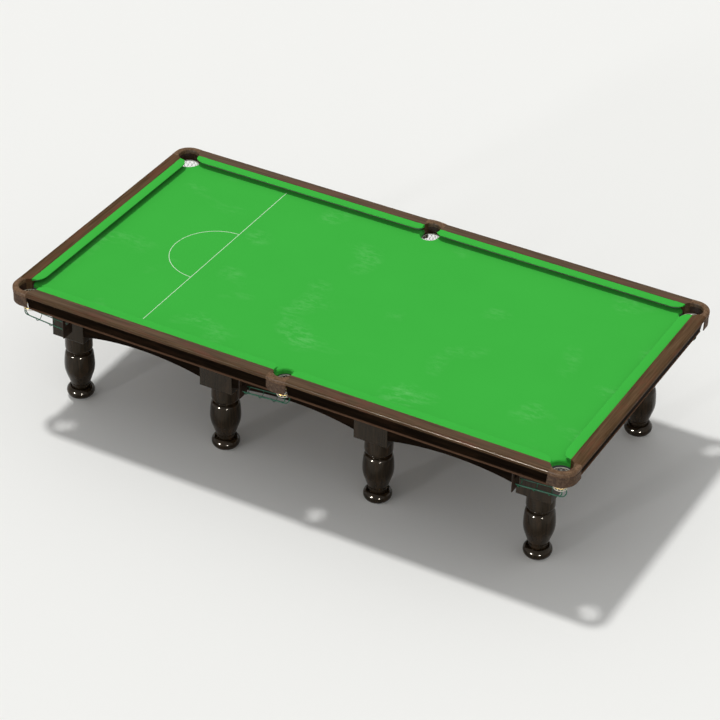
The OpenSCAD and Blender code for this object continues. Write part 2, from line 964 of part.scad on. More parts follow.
// Body of a middle leather: its outer face is a shallow arc
module middle_body(back, z0, z1, round) {
    bow_r = (middle_leather_half ^ 2 + middle_bulge ^ 2) / (2 * middle_bulge);
    reach = outer_d + middle_bulge - back;
    intersection() {
        translate([0, -hw - reach + bow_r, 0])
            rotate_extrude($fn = 180)
                intersection() {
                    rounded_drum_section(bow_r, z0, z1, round);
                    square([bow_r, rail_top_h + 1]);
                }
        translate([-middle_leather_half, -hw - outer_d - middle_bulge, 0])
            cube([2 * middle_leather_half, outer_d + middle_bulge - middle_leather_in, rail_top_h + 1]);
    }
}

// Opening of a pocket with a rounded upper edge, on its own axis
module mouth_cut(r) {
    tall_cylinder(r);
    translate([0, 0, rail_top_h - rim_round])
        rotate_extrude()
            difference() {
                square([r + rim_round, rim_round + 1]);
                translate([r + rim_round, 0])
                    circle(rim_round);
            }
}

// Body of a middle or a corner leather
module leather_body(middle, back, z0, z1, round) {
    if (middle)
        middle_body(back, z0, z1, round);
    else
        corner_body(back, z0, z1, round);
}

// Places a piece on the axis of the near middle pocket or the near right corner pocket
module pocket_axis(middle) {
    if (middle)
        middle_axis(middle_set)
            children();
    else
        corner_axis(corner_set)
            children();
}

// Padded rim over an outer skirt and an inner wall, with the hollow between them open below
module leather(middle) {
    r = middle ? middle_r : corner_r;
    rim_z = rail_top_h - rim_t;
    skirt_z = rail_top_h - skirt_depth;
    edge_round = 0.5;
    difference() {
        union() {
            leather_body(middle, 0, rim_z, rail_top_h, rim_round);
            difference() {
                leather_body(middle, skirt_back, skirt_z, rim_z + 1, edge_round);
                leather_body(middle, skirt_back + skirt_t, skirt_z - 1, rim_z, edge_round);
            }
            intersection() {
                leather_body(middle, skirt_back, rail_top_h - liner_depth, rim_z + 1, edge_round);
                pocket_axis(middle)
                    tall_cylinder(r + liner_t);
            }
        }
        pocket_axis(middle)
            mouth_cut(r);
    }
}

module pocket_leather(i) {
    color("#96705a")
        at_pocket(i)
            leather(i == 2 || i == 5);
}

// Nets, rings and ball runners

net_collar_r = ring_r + ring_wire_r + net_gap;
net_collar_h = 26;

// Smooth draw-in of the net from its band to its collar, as radius and height
function net_curve(r0, r1, z0, z1, n) =
    [for (i = [0:n]) let (t = i / n) [r1 + (r0 - r1) * (1 + cos(180 * t)) / 2, z0 + (z1 - z0) * t]];

module corner_net() {
    top_r = corner_r - net_gap;
    z1 = net_top_z - net_band;
    z2 = ring_z + net_collar_h / 2;
    outside = concat([[top_r, net_top_z]], net_curve(top_r, net_collar_r + net_t, z1, z2, 8),
        [[net_collar_r + net_t, ring_z - net_collar_h / 2]]);
    inside = [for (p = outside) [p[0] - net_t, p[1]]];
    corner_axis(corner_set)
        rotate_extrude()
            polygon(concat(outside, [for (i = [len(inside) - 1:-1:0]) inside[i]]));
}

// Bag of a middle pocket: long across the rail at the top, round at the ring
module middle_bag(grow) {
    z1 = net_top_z - net_band;
    z2 = ring_z + net_collar_h / 2;
    far_set = middle_set - net_gap;
    near_set = middle_fall_set + 2;
    half = middle_fall_r - cloth_t - 3;
    hull() {
        for (set = [near_set, far_set + middle_r - half])
            middle_axis(set)
                translate([0, 0, z1])
                    cylinder(r = half - grow, h = net_top_z - z1, $fn = 32);
        middle_axis(middle_ring_set)
            translate([0, 0, z2 - 1])
                cylinder(r = net_collar_r + net_t - grow, h = 1, $fn = 32);
    }
}

module middle_net() {
    z2 = ring_z + net_collar_h / 2;
    difference() {
        middle_bag(0);
        middle_bag(net_t);
    }
    middle_axis(middle_ring_set)
        translate([0, 0, ring_z - net_collar_h / 2])
            difference() {
                cylinder(r = net_collar_r + net_t, h = net_collar_h);
                translate([0, 0, -1])
                    cylinder(r = net_collar_r, h = net_collar_h + 2);
            }
}

module pocket_net(i) {
    color("white")
        at_pocket(i)
            if (i == 2 || i == 5)
                middle_net();
            else
                corner_net();
}

// Children at the pocket's ring axis
module ring_axis(i) {
    at_pocket(i)
        if (i == 2 || i == 5)
            middle_axis(middle_ring_set)
                children();
        else
            corner_axis(corner_set)
                children();
}

module pocket_rings() {
    color("goldenrod")
        for (i = [1:6])
            ring_axis(i)
                translate([0, 0, ring_z])
                    rotate_extrude()
                        translate([ring_r, 0])
                            circle(ring_wire_r);
}

// Height of the side rods at the pocket's axis
runner_level = ring_z - runner_drop + rod_rise;

// A rod in the runner's sloping frame: down from the ring at ring_x, round a bend and along +X,
// at drop below the side rods
module bent_rod(ring_x, y0, bend_r, drop) {
    rise = ring_z - ring_wire_r - rod_gap - runner_level;
    x0 = ring_x * cos(runner_slope) - rise * sin(runner_slope);
    top = ring_x * sin(runner_slope) + rise * cos(runner_slope);
    translate([x0, y0, -drop]) {
        translate([0, 0, bend_r])
            cylinder(r = rod_r, h = top + drop - bend_r);
        translate([bend_r, 0, bend_r])
            rotate([90, 0, 0])
                rotate([0, 0, 180])
                    rotate_extrude(angle = 90)
                        translate([bend_r, 0])
                            circle(rod_r);
        translate([bend_r, 0, 0])
            rotate([0, 90, 0])
                cylinder(r = rod_r, h = runner_len);
    }
}

// Half hoop under the ball that ties the three rods at x
module rod_hoop(x) {
    hoop_r = 2;
    translate([x, 0, 0])
        rotate([0, 0, 90])
            rotate([90, 0, 0])
                rotate([0, 0, 180])
                    rotate_extrude(angle = 180)
                        translate([rod_spread, 0])
                            circle(hoop_r);
}

// Ball runner on its pocket's axis, running down to +X
module ball_runner() {
    difference() {
        translate([0, 0, runner_level])
            rotate([0, runner_slope, 0]) {
                for (s = [-1, 1])
                    bent_rod(-sqrt(ring_r ^ 2 - rod_spread ^ 2), s * rod_spread, 20, 0);
                bent_rod(-ring_r, 0, 45, rod_rise);
                for (x = [60, runner_len / 2 + 20, runner_len - 20])
                    rod_hoop(x);
            }
        translate([runner_len, -far / 2, 0])
            cube([far, far, rail_top_h]);
    }
}

module ball_runners() {
    color("seagreen")
        for (i = [1:6])
            ring_axis(i)
                mirror([1, 0, 0])
                    ball_runner();
}

// Leather hanger and ball stop at the end of a runner whose axis is set outside the nose line by d
module runner_strap(d) {
    end_z = runner_level - tan(runner_slope) * runner_len;
    pad_half = rod_spread + rod_r + 4;
    hanger_in = cushion_w + 6;
    translate([0, rail_top_h - rail_depth])
        translate([hanger_in - d, end_z + 20 - rail_top_h + rail_depth])
            square([body_d - hanger_in, rail_top_h - rail_depth - end_z - 20]);
    translate([-pad_half, end_z - rod_rise - 20])
        square([body_d - d + pad_half, rod_rise + 50]);
}

module runner_straps() {
    color("#7c5c48")
        for (i = [1:6])
            ring_axis(i)
                translate([-runner_len - strap_t, 0, 0])
                    rotate([90, 0, 90])
                        linear_extrude(strap_t)
                            mirror([1, 0])
                                runner_strap((i == 2 || i == 5) ? middle_ring_set : corner_set);
}

// Bolts

// Bolt with its washer against the rail, shank towards +Z
module rail_bolt() {
    translate([0, 0, -washer_t]) {
        cylinder(r = bolt_r, h = washer_t + rail_body_t + bolt_in_slate);
        cylinder(r = washer_r, h = washer_t);
    }
    translate([0, 0, -washer_t - bolt_head_h])
        cylinder(r = bolt_head_r, h = bolt_head_h, $fn = 6);
}

// Bolt with its head on a block's inner face, shank towards -Y
module frame_bolt() {
    rotate([90, 0, 0]) {
        cylinder(r = bolt_r, h = frame_bolt_len);
        translate([0, 0, -bolt_head_h])
            cylinder(r = bolt_head_r, h = bolt_head_h, $fn = 6);
    }
}

module bolts() {
    color("slategray") {
        for (sx = [0, 1], sy = [0, 1])
            mirror([sx, 0, 0])
                mirror([0, sy, 0])
                    side_bolts()
                        rail_bolt();
        for (sx = [0, 1])
            mirror([sx, 0, 0])
                end_bolts()
                    rail_bolt();
        for (sx = [0, 1], sy = [0, 1])
            mirror([sx, 0, 0])
                mirror([0, sy, 0]) {
                    for (x = [leg_mid_x - half_block, leg_mid_x + half_block - tenon_len, block_x_in])
                        translate([x + tenon_len / 2, -block_y_in, frame_bolt_z])
                            frame_bolt();
                    translate([block_x_in, -block_y_in - tenon_len / 2, end_bolt_z])
                        rotate([0, 0, 90])
                            frame_bolt();
                }
    }
}

// Steel pad and spindle that screw out of the bottom of a leg
module levelling_foot(i) {
    chamfer = 2;
    col = (i - 1) % 4;
    color("silver")
        translate([leg_xs[col], (i > 4 ? 1 : -1) * leg_y, 0]) {
            cylinder(r1 = pad_r - chamfer, r2 = pad_r, h = chamfer);
            translate([0, 0, chamfer])
                cylinder(r = pad_r, h = pad_t - chamfer);
            translate([0, 0, pad_t - 1])
                cylinder(r = spindle_r, h = spindle_len + 1);
        }
}

for (i = [1:5])
    slate(i);
bed_cloth();
for (i = [1:8])
    placed_leg(i);
for (i = [1:6])
    side_rail(i);
for (i = [1:2])
    end_rail(i);
bearers();
for (i = [1:6])
    cushion_rail(i);
rail_blinds();
for (i = [1:6])
    cushion(i);
for (i = [1:6])
    pocket_leather(i);
for (i = [1:6])
    pocket_net(i);
pocket_rings();
ball_runners();
runner_straps();
bolts();
for (i = [1:8])
    levelling_foot(i);
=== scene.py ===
import math

import bmesh
import bpy
from mathutils import Matrix, Vector


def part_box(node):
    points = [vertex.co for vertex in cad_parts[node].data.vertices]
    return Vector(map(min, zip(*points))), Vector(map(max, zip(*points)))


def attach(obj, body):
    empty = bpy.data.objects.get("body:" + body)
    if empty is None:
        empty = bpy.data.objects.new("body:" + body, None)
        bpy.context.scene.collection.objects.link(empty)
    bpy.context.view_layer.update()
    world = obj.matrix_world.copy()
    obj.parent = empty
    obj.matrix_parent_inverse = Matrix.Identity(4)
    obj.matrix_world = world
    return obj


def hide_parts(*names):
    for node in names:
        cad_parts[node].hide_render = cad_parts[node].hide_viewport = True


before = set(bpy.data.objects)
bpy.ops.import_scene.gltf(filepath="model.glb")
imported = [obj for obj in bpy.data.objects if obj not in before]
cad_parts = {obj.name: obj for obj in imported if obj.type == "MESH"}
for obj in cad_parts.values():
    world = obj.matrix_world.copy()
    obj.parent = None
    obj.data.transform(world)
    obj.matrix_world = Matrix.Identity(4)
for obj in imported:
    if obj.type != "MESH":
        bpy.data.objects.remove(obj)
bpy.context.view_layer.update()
print("frame loaded")

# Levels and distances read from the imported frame, in metres
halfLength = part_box("cushion_3")[0].x
halfWidth = -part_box("cushion_2")[1].y
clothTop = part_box("bed_cloth")[1].z
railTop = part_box("cushion_rail_2")[1].z
cushionWidth = -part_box("slate_3")[0].y - halfWidth
railOuter = -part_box("cushion_rail_2")[0].y - halfWidth
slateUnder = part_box("slate_3")[0].z
ringLevel = (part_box("pocket_rings")[0].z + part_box("pocket_rings")[1].z) / 2

# Mirror signs of the six pockets (last: a middle one) and the six cushions (last: at an end), numbered as the CAD nodes
pocketSpots = [(1, -1, 1, False), (2, 1, 1, True), (3, 1, 1, False),
    (4, 1, -1, False), (5, 1, -1, True), (6, -1, -1, False)]
railSpots = [(1, -1, 1, False), (2, 1, 1, False), (3, 1, 1, True),
    (4, 1, -1, False), (5, -1, -1, False), (6, -1, -1, True)]

cutPast = 0.05  # how far a cutting shape stands out past what it cuts

pocketSize = {
    "cornerInner": 0.067,
    "cornerSet": 0.038,
    "middleInner": 0.059,
    "middleSet": 0.049,
    "middleRingSet": 0.0435,
}


# Small tools

def hexColor(code):
    channels = [int(code[i:i + 2], 16) / 255 for i in (1, 3, 5)]
    linear = [c / 12.92 if c <= 0.04045 else ((c + 0.055) / 1.055) ** 2.4 for c in channels]
    return (*linear, 1.0)


def addNode(tree, kind, inputs=None, **settings):
    node = tree.nodes.new(kind)
    for key, value in settings.items():
        setattr(node, key, value)
    for name, value in (inputs or {}).items():
        if isinstance(value, bpy.types.NodeSocket):
            tree.links.new(value, node.inputs[name])
        else:
            node.inputs[name].default_value = value
    return node


def newMaterial(name):
    material = bpy.data.materials.new(name)
    material.use_nodes = True
    tree = material.node_tree
    return material, tree, tree.nodes["Principled BSDF"]


def arcPoints(centreX, centreY, radius, start, end, steps):
    turn = [math.radians(start + (end - start) * i / steps) for i in range(steps + 1)]
    return [(centreX + radius * math.cos(a), centreY + radius * math.sin(a)) for a in turn]


def newVerts(result):
    return [g for g in result["geom"] if isinstance(g, bmesh.types.BMVert)]


def closeHoles(bm):
    bmesh.ops.holes_fill(bm, edges=[e for e in bm.edges if e.is_boundary], sides=0)


def joinInto(target, source):
    mesh = bpy.data.meshes.new("joined")
    bmesh.ops.recalc_face_normals(source, faces=source.faces[:])
    source.to_mesh(mesh)
    source.free()
    target.from_mesh(mesh)
    bpy.data.meshes.remove(mesh)


def combine(bm, other, operation="DIFFERENCE"):
    pair = []
    for name, part in (("base", bm), ("tool", other)):
        bmesh.ops.recalc_face_normals(part, faces=part.faces[:])
        mesh = bpy.data.meshes.new(name)
        part.to_mesh(mesh)
        part.free()
        pair.append(bpy.data.objects.new(name, mesh))
        bpy.context.scene.collection.objects.link(pair[-1])
    base, tool = pair
    cut = base.modifiers.new("cut", "BOOLEAN")
    cut.operation = operation
    cut.solver = "EXACT"
    cut.object = tool
    bpy.context.view_layer.update()
    mesh = bpy.data.meshes.new_from_object(base.evaluated_get(bpy.context.evaluated_depsgraph_get()))
    result = bmesh.new()
    result.from_mesh(mesh)
    for obj in pair:
        data = obj.data
        bpy.data.objects.remove(obj)
        bpy.data.meshes.remove(data)
    bpy.data.meshes.remove(mesh)
    return result


def roundEdges(bm, edges, offset, segments):
    bmesh.ops.bevel(bm, geom=edges, offset=offset, offset_type="OFFSET", segments=segments, profile=0.5,
        affect="EDGES", material=-1)


def turnGeometry(bm, geometry, centre, angle, steps, merge=False):
    return bmesh.ops.spin(bm, geom=geometry, cent=centre, axis=(0, 0, 1), dvec=(0, 0, 0), angle=angle, steps=steps,
        use_merge=merge, use_normal_flip=False, use_duplicate=False)["geom_last"]


def spinSection(points, centre, angle, steps, start=0.0):
    bm = bmesh.new()
    full = abs(abs(angle) - 360) < 1e-6
    turn = Matrix.Rotation(math.radians(start), 4, "Z")
    verts = [bm.verts.new(Vector((centre[0], centre[1], 0)) + turn @ Vector((r, 0, z))) for r, z in points]
    if full:
        edges = [bm.edges.new(pair) for pair in zip(verts, verts[1:])]
    else:
        edges = bm.faces.new(verts).edges[:]
    turnGeometry(bm, verts + edges, (centre[0], centre[1], 0), math.radians(angle), steps, merge=full)
    bmesh.ops.remove_doubles(bm, verts=bm.verts[:], dist=1e-6)
    if not full:
        closeHoles(bm)
    return bm


def finishPiece(name, bm, material, stands=(), sharp=35):
    bmesh.ops.remove_doubles(bm, verts=bm.verts[:], dist=2e-6)
    bmesh.ops.recalc_face_normals(bm, faces=bm.faces[:])
    openEdges = sum(1 for e in bm.edges if not e.is_manifold)
    if openEdges:
        print("open edges in", name, openEdges)
    mesh = bpy.data.meshes.new(name)
    bm.to_mesh(mesh)
    bm.free()
    for look in material if isinstance(material, tuple) else (material,):
        mesh.materials.append(look)
    mesh.shade_smooth()
    mesh.set_sharp_from_angle(angle=math.radians(sharp))
    obj = bpy.data.objects.new(name, mesh)
    bpy.context.scene.collection.objects.link(obj)
    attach(obj, "table")
    if stands:
        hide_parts(*stands)
    return obj


def mirrorTo(bm, signX, signY):
    bmesh.ops.scale(bm, vec=(signX, signY, 1), verts=bm.verts[:])


# Materials

def clothMaterial(name, base, shade, fleck, smudged):
    # Wool snooker cloth, woven and napped: matt and even, with a soft sheen and faint brushed smudges
    material, tree, shader = newMaterial(name)
    napMm, smudgeMm, patchMm, broadMm = 4, 80, 420, 454.5  # the nap is drawn coarser than real, to show
    place = addNode(tree, "ShaderNodeTexCoord").outputs["Object"]
    broad = addNode(tree, "ShaderNodeTexNoise", {"Vector": place, "Scale": 1000 / broadMm, "Detail": 3.0})
    nap = addNode(tree, "ShaderNodeTexNoise", {"Vector": place, "Scale": 1000 / napMm, "Detail": 2.0})
    tone = addNode(tree, "ShaderNodeMix", {"Factor": broad.outputs["Fac"], "A": hexColor(base), "B": hexColor(shade)},
        data_type="RGBA")
    napTone = addNode(tree, "ShaderNodeMapRange", {"Value": nap.outputs["Fac"], "From Min": 0.3, "From Max": 0.7,
        "To Min": 0.0, "To Max": 0.10})
    color = addNode(tree, "ShaderNodeMix", {"Factor": napTone.outputs["Result"], "A": tone.outputs[2],
        "B": hexColor(fleck)}, data_type="RGBA").outputs[2]
    if smudged:
        turned = addNode(tree, "ShaderNodeMapping", {"Vector": place, "Rotation": (0, 0, 0.35),
            "Scale": (1000 / smudgeMm, 1000 / smudgeMm * 2, 1.0)})
        streak = addNode(tree, "ShaderNodeTexNoise", {"Vector": turned.outputs["Vector"], "Scale": 1.0,
            "Detail": 6.0, "Roughness": 0.72})
        patch = addNode(tree, "ShaderNodeTexNoise", {"Vector": place, "Scale": 1000 / patchMm, "Detail": 1.0})
        streakCut = addNode(tree, "ShaderNodeMapRange", {"Value": streak.outputs["Fac"], "From Min": 0.44,
            "From Max": 0.72, "To Min": 0.0, "To Max": 1.0})
        patchCut = addNode(tree, "ShaderNodeMapRange", {"Value": patch.outputs["Fac"], "From Min": 0.56,
            "From Max": 0.72, "To Min": 0.0, "To Max": 0.5})
        both = addNode(tree, "ShaderNodeMath", {0: streakCut.outputs["Result"], 1: patchCut.outputs["Result"]},
            operation="MULTIPLY")
        color = addNode(tree, "ShaderNodeMix", {"Factor": both.outputs[0], "A": color, "B": hexColor("#78cd78")},
            data_type="RGBA").outputs[2]
    tree.links.new(color, shader.inputs["Base Color"])
    weave = addNode(tree, "ShaderNodeBump", {"Height": nap.outputs["Fac"], "Strength": 0.25, "Distance": 0.0006})
    tree.links.new(weave.outputs["Normal"], shader.inputs["Normal"])
    shader.inputs["Roughness"].default_value = 0.95
    shader.inputs["Specular IOR Level"].default_value = 0.06
    shader.inputs["IOR"].default_value = 1.2  # wool scatters nearly all the light, so little is mirrored
    shader.inputs["Sheen Weight"].default_value = 0.03
    shader.inputs["Sheen Roughness"].default_value = 0.5
    return material


def woodMaterial(name, base, dark, streak, along, roughness, gloss, ior=1.5, bead=None):
    # Stained hardwood under lacquer: long grain along the piece, darker pores and a clear coat over it.
    # The pieces under the rails have a low IOR, which keeps them dark where they face a pale floor,
    # and the hidden pine bearers have no coat
    material, tree, shader = newMaterial(name)
    grainMm, poreMm, patchMm = 16, 4, 45
    place = addNode(tree, "ShaderNodeTexCoord").outputs["Object"]

    def stretched(sizeMm, times):
        scale = [1000 / sizeMm] * 3
        scale["XYZ".index(along)] /= times
        return scale

    grainPlace = addNode(tree, "ShaderNodeMapping", {"Vector": place, "Scale": stretched(grainMm, 22)})
    porePlace = addNode(tree, "ShaderNodeMapping", {"Vector": place, "Scale": stretched(poreMm, 30)})
    patchPlace = addNode(tree, "ShaderNodeMapping", {"Vector": place, "Scale": stretched(patchMm, 4)})
    grain = addNode(tree, "ShaderNodeTexNoise", {"Vector": grainPlace.outputs["Vector"], "Scale": 1.0,
        "Detail": 5.0, "Roughness": 0.6, "Distortion": 0.6})
    pores = addNode(tree, "ShaderNodeTexNoise", {"Vector": porePlace.outputs["Vector"], "Scale": 1.0,
        "Detail": 3.0, "Roughness": 0.7})
    patch = addNode(tree, "ShaderNodeTexNoise", {"Vector": patchPlace.outputs["Vector"], "Scale": 1.0,
        "Detail": 3.0})
    grainCut = addNode(tree, "ShaderNodeMapRange", {"Value": grain.outputs["Fac"], "From Min": 0.35,
        "From Max": 0.68})
    color = addNode(tree, "ShaderNodeMix", {"Factor": grainCut.outputs["Result"], "A": hexColor(dark),
        "B": hexColor(base)}, data_type="RGBA").outputs[2]
    patchCut = addNode(tree, "ShaderNodeMapRange", {"Value": patch.outputs["Fac"], "From Min": 0.5,
        "From Max": 0.68, "To Max": 0.7})
    color = addNode(tree, "ShaderNodeMix", {"Factor": patchCut.outputs["Result"], "A": color,
        "B": hexColor(streak)}, data_type="RGBA").outputs[2]
    poreCut = addNode(tree, "ShaderNodeMapRange", {"Value": pores.outputs["Fac"], "From Min": 0.56,
        "From Max": 0.72, "To Max": 0.55})
    color = addNode(tree, "ShaderNodeMix", {"Factor": poreCut.outputs["Result"], "A": color,
        "B": hexColor(dark)}, data_type="RGBA").outputs[2]
    tree.links.new(color, shader.inputs["Base Color"])
    rough = addNode(tree, "ShaderNodeMapRange", {"Value": grain.outputs["Fac"], "To Min": roughness - 0.03,
        "To Max": roughness + 0.05})
    tree.links.new(rough.outputs["Result"], shader.inputs["Roughness"])
    relief = addNode(tree, "ShaderNodeBump", {"Height": pores.outputs["Fac"], "Strength": 0.12,
        "Distance": 0.0004})
    tree.links.new(relief.outputs["Normal"], shader.inputs["Normal"])
    shader.inputs["Specular IOR Level"].default_value = gloss
    shader.inputs["IOR"].default_value = ior
    shader.inputs["Specular Tint"].default_value = hexColor("#fff4e4")
    if bead:
        beadTop, beadTone = bead
        height = addNode(tree, "ShaderNodeSeparateXYZ", {"Vector": place})
        onBead = addNode(tree, "ShaderNodeMath", {0: height.outputs["Z"], 1: beadTop}, operation="LESS_THAN")
        color = addNode(tree, "ShaderNodeMix", {"Factor": onBead.outputs[0], "A": color,
            "B": hexColor(beadTone)}, data_type="RGBA").outputs[2]
        tree.links.new(color, shader.inputs["Base Color"])
    return material


def leatherMaterial(name, base, dark, worn):
    # Thick cowhide, vegetable tanned and waxed: pebbled grain, rubbed paler in patches, dull gloss
    material, tree, shader = newMaterial(name)
    pebbleMm, patchMm = 5, 16
    place = addNode(tree, "ShaderNodeTexCoord").outputs["Object"]
    pebble = addNode(tree, "ShaderNodeTexVoronoi", {"Vector": place, "Scale": 1000 / pebbleMm})
    patch = addNode(tree, "ShaderNodeTexNoise", {"Vector": place, "Scale": 1000 / patchMm, "Detail": 5.0,
        "Roughness": 0.65})
    wornCut = addNode(tree, "ShaderNodeMapRange", {"Value": patch.outputs["Fac"], "From Min": 0.42,
        "From Max": 0.6})
    color = addNode(tree, "ShaderNodeMix", {"Factor": wornCut.outputs["Result"], "A": hexColor(base),
        "B": hexColor(worn)}, data_type="RGBA").outputs[2]
    creaseCut = addNode(tree, "ShaderNodeMapRange", {"Value": pebble.outputs["Distance"], "From Min": 0.35,
        "From Max": 0.75, "To Max": 0.45})
    color = addNode(tree, "ShaderNodeMix", {"Factor": creaseCut.outputs["Result"], "A": color,
        "B": hexColor(dark)}, data_type="RGBA").outputs[2]
    tree.links.new(color, shader.inputs["Base Color"])
    relief = addNode(tree, "ShaderNodeBump", {"Height": pebble.outputs["Distance"], "Strength": 0.35,
        "Distance": 0.0008}, invert=True)
    tree.links.new(relief.outputs["Normal"], shader.inputs["Normal"])
    shader.inputs["Roughness"].default_value = 0.52
    shader.inputs["Specular IOR Level"].default_value = 0.15
    shader.inputs["IOR"].default_value = 1.3
    return material


def metalMaterial(name, base, worn, roughness):
    # Turned or drawn metal: fine tool marks that spread the highlight, slightly duller in patches
    material, tree, shader = newMaterial(name)
    markMm = 3
    place = addNode(tree, "ShaderNodeTexCoord").outputs["Object"]
    marks = addNode(tree, "ShaderNodeTexNoise", {"Vector": place, "Scale": 1000 / markMm, "Detail": 4.0})
    color = addNode(tree, "ShaderNodeMix", {"Factor": marks.outputs["Fac"], "A": hexColor(base),
        "B": hexColor(worn)}, data_type="RGBA").outputs[2]
    tree.links.new(color, shader.inputs["Base Color"])
    rough = addNode(tree, "ShaderNodeMapRange", {"Value": marks.outputs["Fac"], "To Min": roughness - 0.08,
        "To Max": roughness + 0.1})
    tree.links.new(rough.outputs["Result"], shader.inputs["Roughness"])
    shader.inputs["Metallic"].default_value = 1.0
    return material


def coatedMaterial(name, base, shade):
    # Steel rod dipped in plastic: smooth, slightly uneven green skin with a soft gloss
    material, tree, shader = newMaterial(name)
    blotchMm = 50 / 3
    place = addNode(tree, "ShaderNodeTexCoord").outputs["Object"]
    blotch = addNode(tree, "ShaderNodeTexNoise", {"Vector": place, "Scale": 1000 / blotchMm, "Detail": 2.0})
    color = addNode(tree, "ShaderNodeMix", {"Factor": blotch.outputs["Fac"], "A": hexColor(base),
        "B": hexColor(shade)}, data_type="RGBA").outputs[2]
    tree.links.new(color, shader.inputs["Base Color"])
    skin = addNode(tree, "ShaderNodeBump", {"Height": blotch.outputs["Fac"], "Strength": 0.2, "Distance": 0.0005})
    tree.links.new(skin.outputs["Normal"], shader.inputs["Normal"])
    shader.inputs["Roughness"].default_value = 0.45
    shader.inputs["Specular IOR Level"].default_value = 0.06
    return material


def dullMaterial(name, base, shade, scaleMm, roughness, bump=0.3):
    # Matt surface with grain in two tones, for stone, cord, chalk and the painted shade under the cushions' noses
    material, tree, shader = newMaterial(name)
    place = addNode(tree, "ShaderNodeTexCoord").outputs["Object"]
    grain = addNode(tree, "ShaderNodeTexNoise", {"Vector": place, "Scale": 1000 / scaleMm, "Detail": 5.0,
        "Roughness": 0.65})
    color = addNode(tree, "ShaderNodeMix", {"Factor": grain.outputs["Fac"], "A": hexColor(base),
        "B": hexColor(shade)}, data_type="RGBA").outputs[2]
    tree.links.new(color, shader.inputs["Base Color"])
    relief = addNode(tree, "ShaderNodeBump", {"Height": grain.outputs["Fac"], "Strength": bump,
        "Distance": 0.0005})
    tree.links.new(relief.outputs["Normal"], shader.inputs["Normal"])
    shader.inputs["Roughness"].default_value = roughness
    return material


bedWool = clothMaterial("napped_wool_bed_cloth", "#3eb441", "#3aad3d", "#50c052", True)
cushionWool = clothMaterial("napped_wool_cushion_cloth", "#3eb742", "#3aae3d", "#4fc052", False)
# Painted shade: a near-black material on the cushions' undersides, standing in for the shade under the nose
cushionUnderPaintedShade = dullMaterial("painted_shade_under_cushion_nose", "#0d120c", "#070a07", 8, 0.9)
beadHeight = 0.0163
beadLook = (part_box("rail_blinds")[0].z + beadHeight, "#5a4334")
railWoodX = woodMaterial("lacquered_mahogany_side_rail", "#614b35", "#463320", "#633d2e", "X", 0.11, 0.39, 1.22)
railWoodY = woodMaterial("lacquered_mahogany_end_rail", "#67503a", "#4b3825", "#684231", "Y", 0.11, 0.13, 1.1)
blindWood = woodMaterial("lacquered_dark_blind", "#1c140d", "#0f0a07", "#241810", "X", 0.3, 0.03, 1.06, beadLook)
frameWoodX = woodMaterial("lacquered_dark_side_frame", "#1d1610", "#120d09", "#241911", "X", 0.3, 0.05, 1.08)
frameWoodY = woodMaterial("lacquered_dark_end_frame", "#1d1610", "#120d09", "#241911", "Y", 0.3, 0.05, 1.06)
legWood = woodMaterial("lacquered_dark_turned_leg", "#2c2217", "#18120a", "#35271a", "Z", 0.13, 0.2)
bearerWood = woodMaterial("planed_pine_bearer", "#b2966c", "#8a6e49", "#a58255", "X", 0.75, 0.0)
rimLeather = leatherMaterial("tanned_cowhide_rim", "#634a36", "#38271a", "#83684f")
pocketLeather = leatherMaterial("tanned_cowhide_pocket", "#493628", "#281c13", "#644e3b")
strapLeather = leatherMaterial("blackened_cowhide_strap", "#2c2119", "#17110c", "#3d2e23")
# The liner is darker leather, and is also darkened further as painted shade inside the pocket
linerLeatherPaintedShade = leatherMaterial("dark_cowhide_liner_painted_shade", "#3b2a20", "#1f1510", "#4b372a")
brass = metalMaterial("polished_brass_ring", "#d9b867", "#b8934a", 0.25)
steel = metalMaterial("turned_steel_foot", "#b6b6b4", "#8f8f8d", 0.4)
nailBronze = metalMaterial("bronzed_steel_nail", "#3a2c22", "#1f1712", 0.45)
rodCoat = coatedMaterial("green_dipped_rod", "#1c6a4c", "#12503a")
slateStone = dullMaterial("honed_slate", "#41464a", "#2f3437", 30, 0.6)
netCotton = dullMaterial("knotted_cotton_net", "#e6e3d8", "#c9c4b4", 4, 0.9)
chalkWhite = dullMaterial("marking_white", "#d9ecd4", "#c2dfbd", 6, 0.95, 0.1)
print("materials made")


# Rigid CAD nodes that keep their own mesh

def dressNodes(prefixes, material):
    for name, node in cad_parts.items():
        if name.startswith(tuple(prefixes)):
            node.data.materials.clear()
            node.data.materials.append(material)


dressNodes(["slate_"], slateStone)
dressNodes(["cushion_rail_1", "cushion_rail_2", "cushion_rail_4", "cushion_rail_5"], railWoodX)
dressNodes(["cushion_rail_3", "cushion_rail_6"], railWoodY)
dressNodes(["rail_blinds"], blindWood)
dressNodes(["side_rail_"], frameWoodX)
dressNodes(["end_rail_"], frameWoodY)
dressNodes(["bearers"], bearerWood)
dressNodes(["pocket_rings"], brass)
dressNodes(["ball_runners"], rodCoat)
dressNodes(["bolts", "levelling_foot_"], steel)


# Bed cloth, turned down into the pockets

bedSize = {
    "thickness": 0.0018,
    "fallRound": 0.014,
    "turnDown": 0.032,
    "cornerFall": 0.074,
    "cornerFallSet": 0.032,
    "middleFall": 0.058,
    "middleFallSet": 0.024,
    "arcSteps": 22,
    "bendSteps": 8,
    "border": 0.004,
    "lipEdge": 0.06,  # longest edge along a pocket's arc, shorter than any straight side
}


